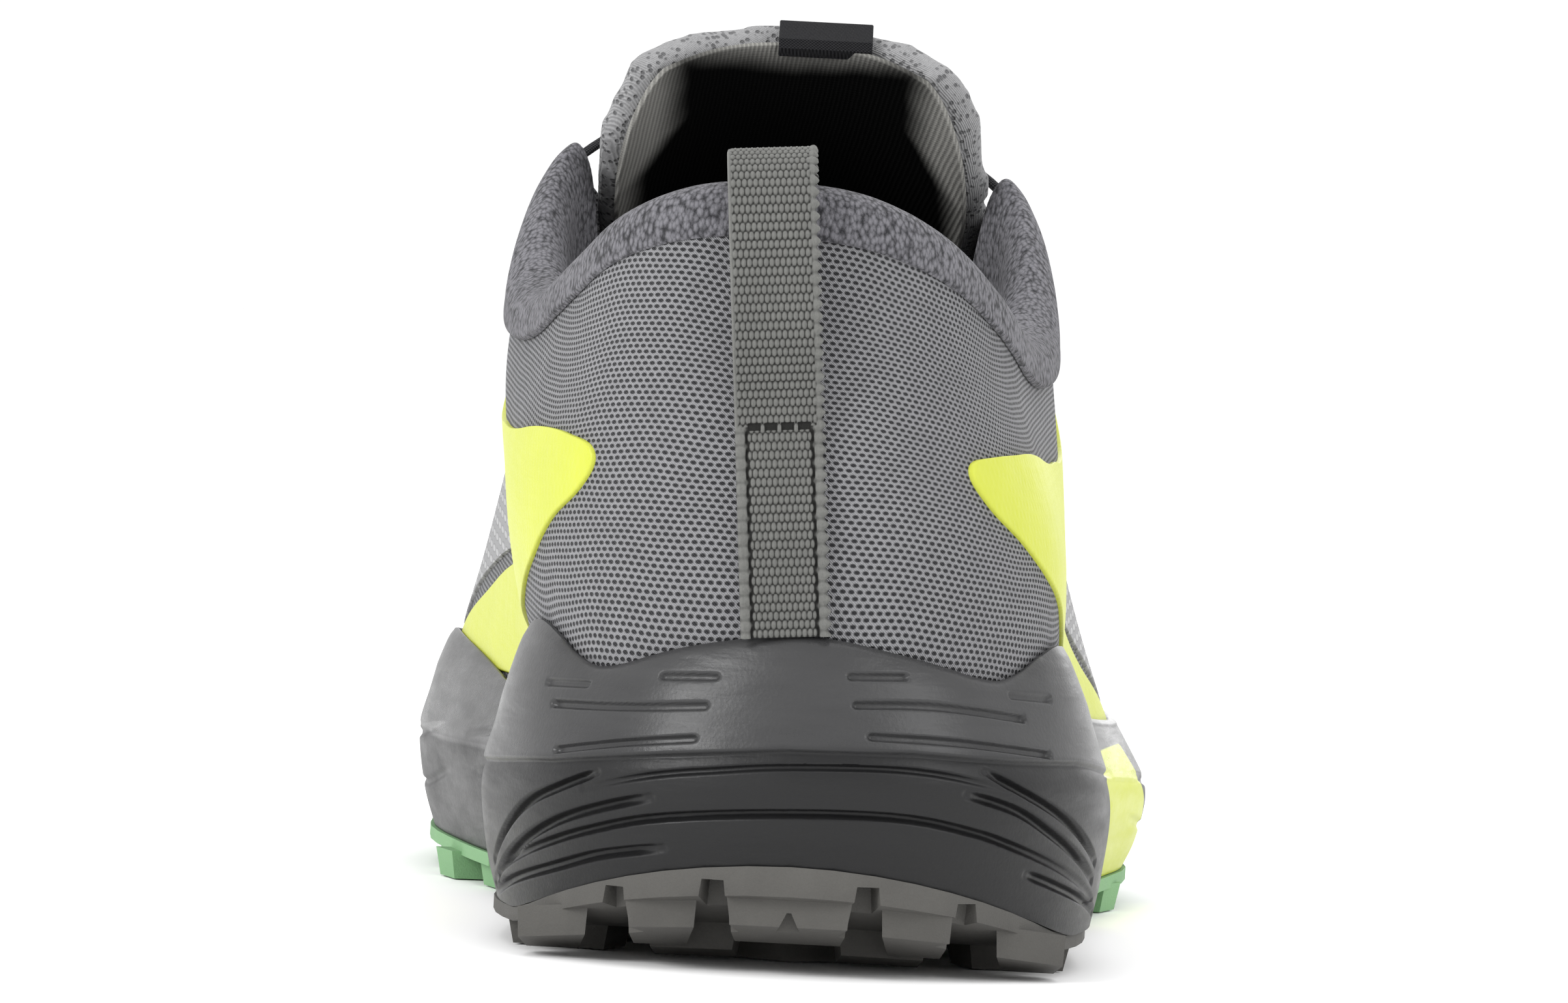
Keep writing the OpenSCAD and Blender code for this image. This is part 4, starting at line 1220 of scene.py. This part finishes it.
def collar_sections():
    """Sections of the padded collar: a crease on the mesh, a roll over its edge, and the pad inside."""
    s = np.linspace(-COLLAR_END, COLLAR_END, COLLAR_COLUMNS)
    w = 9.5 - 6.3 * ease(4.2, 6.2, np.abs(s))
    crease = np.interp(np.abs(s), *np.array(CREASE).T)
    bulge = 0.6 + 0.7 * ease(1, 5, np.abs(s))
    flat = 0 * s

    def on_mesh(share, off):
        return UPPER.layer(s, crease + (1 - crease) * share, flat + off)

    roll = [on_mesh(0, 0.1), on_mesh(0.15, 0.65 * bulge), on_mesh(0.5, bulge),
            rim_point(s, 1.3 + bulge, flat + 0.8), rim_point(s, 1.0 + bulge, flat + 3),
            rim_point(s, 0.1 + 0.6 * bulge, flat + 5.2), rim_point(s, -w * 0.28, flat + 6.4)]
    pad = [rim_point(s, -w * 0.62, flat + 5.8), rim_point(s, -w * 0.9, flat + 3.4), rim_point(s, -w, flat),
           rim_point(s, -w, flat - 6), rim_point(s, -w * 0.85, flat - 12), rim_point(s, -w * 0.5, flat - 13)]
    slot = [UPPER.layer(s, 0.86, flat - 1.7), UPPER.layer(s, 0.95, flat - 1.5),
            rim_point(s, flat - 0.2, flat - 0.3), rim_point(s, flat + 0.5, flat + 0.5), on_mesh(0.9, 0.35)]
    return closed_curve(roll + pad + slot, COLLAR_COUNT).transpose(1, 0, 2)


def tube_mesh(name, sections):
    """A closed mesh through closed sections, with flat ends; its sections run in order along it."""
    mesh = quad_mesh(name, sections.reshape(-1, 3), grid_quads(*sections.shape[:2], tube=True))
    face_out(mesh, close=True)
    return mesh


def build_collar():
    """The collar keeps its own mesh, and its points in the slot over the upper's edge don't move."""
    slot_from, slot_to = 12.5, 1.2
    pad = new_object("collar_pad", tube_mesh("collar_pad", collar_sections()))
    place = np.arange(COLLAR_COLUMNS * COLLAR_COUNT) % COLLAR_COUNT / COLLAR_COUNT * 18
    held = (place < slot_to) | (place > slot_from)
    pad.vertex_groups.new(name="held").add([int(v) for v in np.flatnonzero(held)], 1.0, "REPLACE")
    rest, move = blown(pad, quality=5, pressure=3, cap=0.8, held="held")
    move_points(pad.data, rest + move * ~held[:, None])
    pad.vertex_groups.clear()
    subdivide(pad, 1)
    baked(pad)
    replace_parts(dress(pad, "collar", "shoe"), "collar_foam", "collar_lining")


# Half the tongue's width at places along the shoe, from its tip to its base
TONGUE_WIDTHS = [(-46, 20), (-41, 24.6), (-29, 25.6), (-11, 25.2), (10, 23), (30, 19.5), (55, 15)]
TONGUE_X = -3.9
TONGUE_TOP = 125.0


def fit_tongue(piece):
    """Lets the tongue's upper part press out against the collar's wings, and stand a little taller."""
    points = coordinates(piece.data) / MM
    high = ease(84, 101, points[:, 2])
    points[:, 0] += high * (1.0 + 0.12 * (points[:, 0] - TONGUE_X))
    points[:, 2] += 1.8 * ease(106, 122, points[:, 2])
    move_points(piece.data, points * MM)


def tongue_inset(points):
    """How far inside the tongue's outline each place lies, seen from the heel."""
    side = np.interp(points[:, 1], *np.array(TONGUE_WIDTHS).T) - np.abs(points[:, 0] - TONGUE_X)
    return np.minimum(side, TONGUE_TOP - points[:, 2])


def build_tongue():
    outside, swell = np.array([0, 0.55, 0.835]), 0.45
    pad = joined("tongue_pad", ["tongue_cover", "tongue_foam"])
    stuffed(pad, voxel=1.5, swell=swell, pressure=3, cap=0.9, away=outside)
    fit_tongue(pad)
    pad.data.transform(Matrix.Translation(outside * swell * MM))
    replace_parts(dress(pad, "tongue_mesh", "tongue"), "tongue_cover", "tongue_foam")
    lining = smooth_copy("tongue_liner", "tongue_lining", 3)
    inset = tongue_inset(coordinates(lining.data) / MM)
    fit_tongue(lining)
    dress(lining, "tongue_rib", "tongue")
    # The paint darkens the lining with this distance in from the outline, as painted shade
    set_field(lining.data, "rim", np.stack([inset, 0 * inset], -1))
    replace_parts(lining, "tongue_lining")


build_collar()
build_tongue()
refinish("tongue_loop", "tape", bevel=0.2)

# ---------- inside the shoe ----------

refinish("strobel_board", "board", bevel=0.3)
foam_liner = smooth_copy("sockliner_pad", "sockliner_foam", 2)
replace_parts(dress(foam_liner, "liner_foam", "sockliner"), "sockliner_foam")
cloth_liner = smooth_copy("sockliner_top", "sockliner_cover", 2)
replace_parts(dress(cloth_liner, "liner_cloth", "sockliner"), "sockliner_cover")

# ---------- heel pull tab ----------


def border_loop(triangles):
    """The points round the border of a patch of triangles, in order."""
    uses = Counter(tuple(sorted(pair)) for a, b, c in triangles for pair in ((a, b), (b, c), (c, a)))
    border = {}
    for (a, b), count in uses.items():
        if count == 1:
            border.setdefault(a, []).append(b)
            border.setdefault(b, []).append(a)
    loop = [next(iter(border))]
    loop.append(border[loop[0]][0])
    while len(loop) < len(border):
        loop.append([v for v in border[loop[-1]] if v != loop[-2]][0])
    return loop


def strap_line(node, thick):
    """The middle line of an extruded strap from its low end, with its width direction and its width."""
    points, triangles = welded(node)
    corners = points[np.array(triangles)]
    normals = unit(np.cross(corners[:, 1] - corners[:, 0], corners[:, 2] - corners[:, 0]))
    cap = normals[:, 0] > 0.99
    axis = unit(normals[cap].mean(0))
    loop = border_loop(np.array(triangles)[cap])
    n = len(loop)
    off = [abs(np.linalg.norm(points[loop[i]] - points[loop[(i + 1) % n]]) - thick) for i in range(n)]
    first, second = sorted(np.argsort(off)[:2])
    one = [loop[i] for i in range(first + 1, second + 1)]
    other = [loop[(second + 1 + i) % n] for i in range(n - len(one))][::-1]
    middle = (points[one] + points[other]) / 2
    width = (points @ axis).max() - (points @ axis).min()
    middle = middle - axis * width / 2
    return (middle if middle[0][2] < middle[-1][2] else middle[::-1]), axis, width


def even_line(points, pitch):
    """Points along a smooth curve at an even pitch, with the distance along it of each."""
    fine = through(points, np.linspace(0, 1, 4000))
    run = np.concatenate([[0], np.linalg.norm(np.diff(fine, axis=0), axis=1).cumsum()])
    d = np.linspace(0, run[-1], int(run[-1] / pitch) + 1)
    return np.stack([np.interp(d, run, fine[:, k]) for k in range(3)], -1), d


ROW_PITCH = 1.18          # the webbing: from row to row, from pick to pick and from lump to lump of its rim
PICK_PITCH = 0.74
LUMP_PITCH = 1.65
BAR_HEIGHT = 72.7         # the stitched bar that ends the two-layer part
BACK_SHIFT = 0.39         # how far the back's picks are offset across the webbing
NO_BAR = -9               # a place before the webbing's start


def weave_height(d, w, width, bar):
    """Relief of the webbing at distance d along it and w across it, about 1 at the top of a thread.

    Below the bar the strap has two layers and a broad rim. Above it one edge is lumpy and the other is flat.
    """
    broad_rim, lumpy_rim, flat_rim, stitch_pitch = 1.3, 0.95, 0.4, 2.2
    row = np.floor(d / ROW_PITCH)
    column = w / PICK_PITCH + 0.5 * np.mod(row, 2)
    oval = np.hypot((np.mod(column, 1) - 0.5) / 0.5, (np.mod(d / ROW_PITCH, 1) - 0.5) / 0.56)
    height = np.clip(1 - oval ** 2.4, 0, 1) * 0.9
    inset = width / 2 - np.abs(w)
    lump = 0.62 + 0.38 * np.cos(2 * math.pi * d / LUMP_PITCH)
    rim = np.where(d < bar, broad_rim, np.where(w > 0, lumpy_rim, flat_rim))
    swell = np.sqrt(np.clip(1 - ((inset - rim / 2) / (0.56 * rim)) ** 2, 0, 1))
    lumpy = (w > 0) | (d < bar)
    height = np.where(inset < rim, swell * np.where(lumpy, 0.1 + 1.1 * lump, 0.8), height)
    groove = np.exp(-((inset - 1.55) / 0.25) ** 2) * (d < bar)
    height = height - 0.8 * groove * (inset >= broad_rim)
    stitch = (np.abs(d - bar) < 0.5) & (inset >= 1.2) & (np.abs(np.mod(w / stitch_pitch, 1) - 0.5) < 0.36)
    return np.where(stitch, -0.35, height)


def build_tab():
    line, axis, width = strap_line("heel_pull_tab", 1.2)
    middle, d = even_line(line, 0.17)
    face = np.cross(axis, unit(np.gradient(middle, axis=0)))
    rising = len(middle) // 2
    bar = np.interp(BAR_HEIGHT, middle[:rising, 2], d[:rising])
    along, across = np.meshgrid(d, np.linspace(-width / 2, width / 2, 92), indexing="ij")
    height = weave_height(along, across, width, bar)
    back_height = weave_height(along, across + BACK_SHIFT, width, NO_BAR)
    past_flat = np.maximum(np.abs(across) - (width / 2 - 0.5), 0) / 0.5
    round_edge = np.sqrt(np.clip(1 - past_flat ** 2, 0.02, 1))
    waves = 0.26 * np.cos(2 * math.pi * along / LUMP_PITCH) * ease(width / 2 - 1.2, width / 2, across)
    base = middle[:, None] + axis * (across + waves)[..., None]
    front = base + face[:, None] * ((0.36 + 0.36 * height) * round_edge)[..., None]
    back = base - face[:, None] * ((0.42 + 0.2 * back_height) * round_edge)[..., None]
    mesh = sheet_mesh("heel_tab_webbing", front, back, sharp=None)
    relief = np.concatenate([height.ravel(), back_height.ravel()])
    # The paint reads this relief for the painted shade in the weave's gaps
    set_field(mesh, "relief", np.stack([relief, 0 * relief], -1))
    face_out(mesh)
    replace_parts(add_piece("heel_tab_webbing", mesh, "webbing", "shoe"), "heel_pull_tab")


build_tab()

# ---------- lacing ----------

refinish("lace_loops_lateral", "tape", bevel=0.15)
refinish("lace_loops_medial", "tape", bevel=0.15)
refinish("lace", "cord", round_levels=1)
refinish("lock_body", "plastic", bevel=0.4)
refinish("lock_button", "button", bevel=0.3)


def build_lock_spring():
    """The spring: a smoothed copy of its CAD node, with a mesh of its own."""
    coil = dress(smooth_copy("lock_coil", "lock_spring", 1), "steel", "lock")
    points = coordinates(coil.data)
    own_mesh(coil)
    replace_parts(coil, "lock_spring")


build_lock_spring()
refinish("cord_end_cap", "plastic", bevel=0.3)

# ---------- floor ----------


def build_floor():
    reach = 6.0
    corners = [(-reach, -reach, 0), (reach, -reach, 0), (reach, reach, 0), (-reach, reach, 0)]
    mesh = bpy.data.meshes.new("studio_floor")
    mesh.from_pydata(corners, [], [(0, 1, 2, 3)])
    mesh.materials.append(floor_paint())
    floor = new_object("studio_floor", mesh)
    floor.location.z = -0.0002


build_floor()
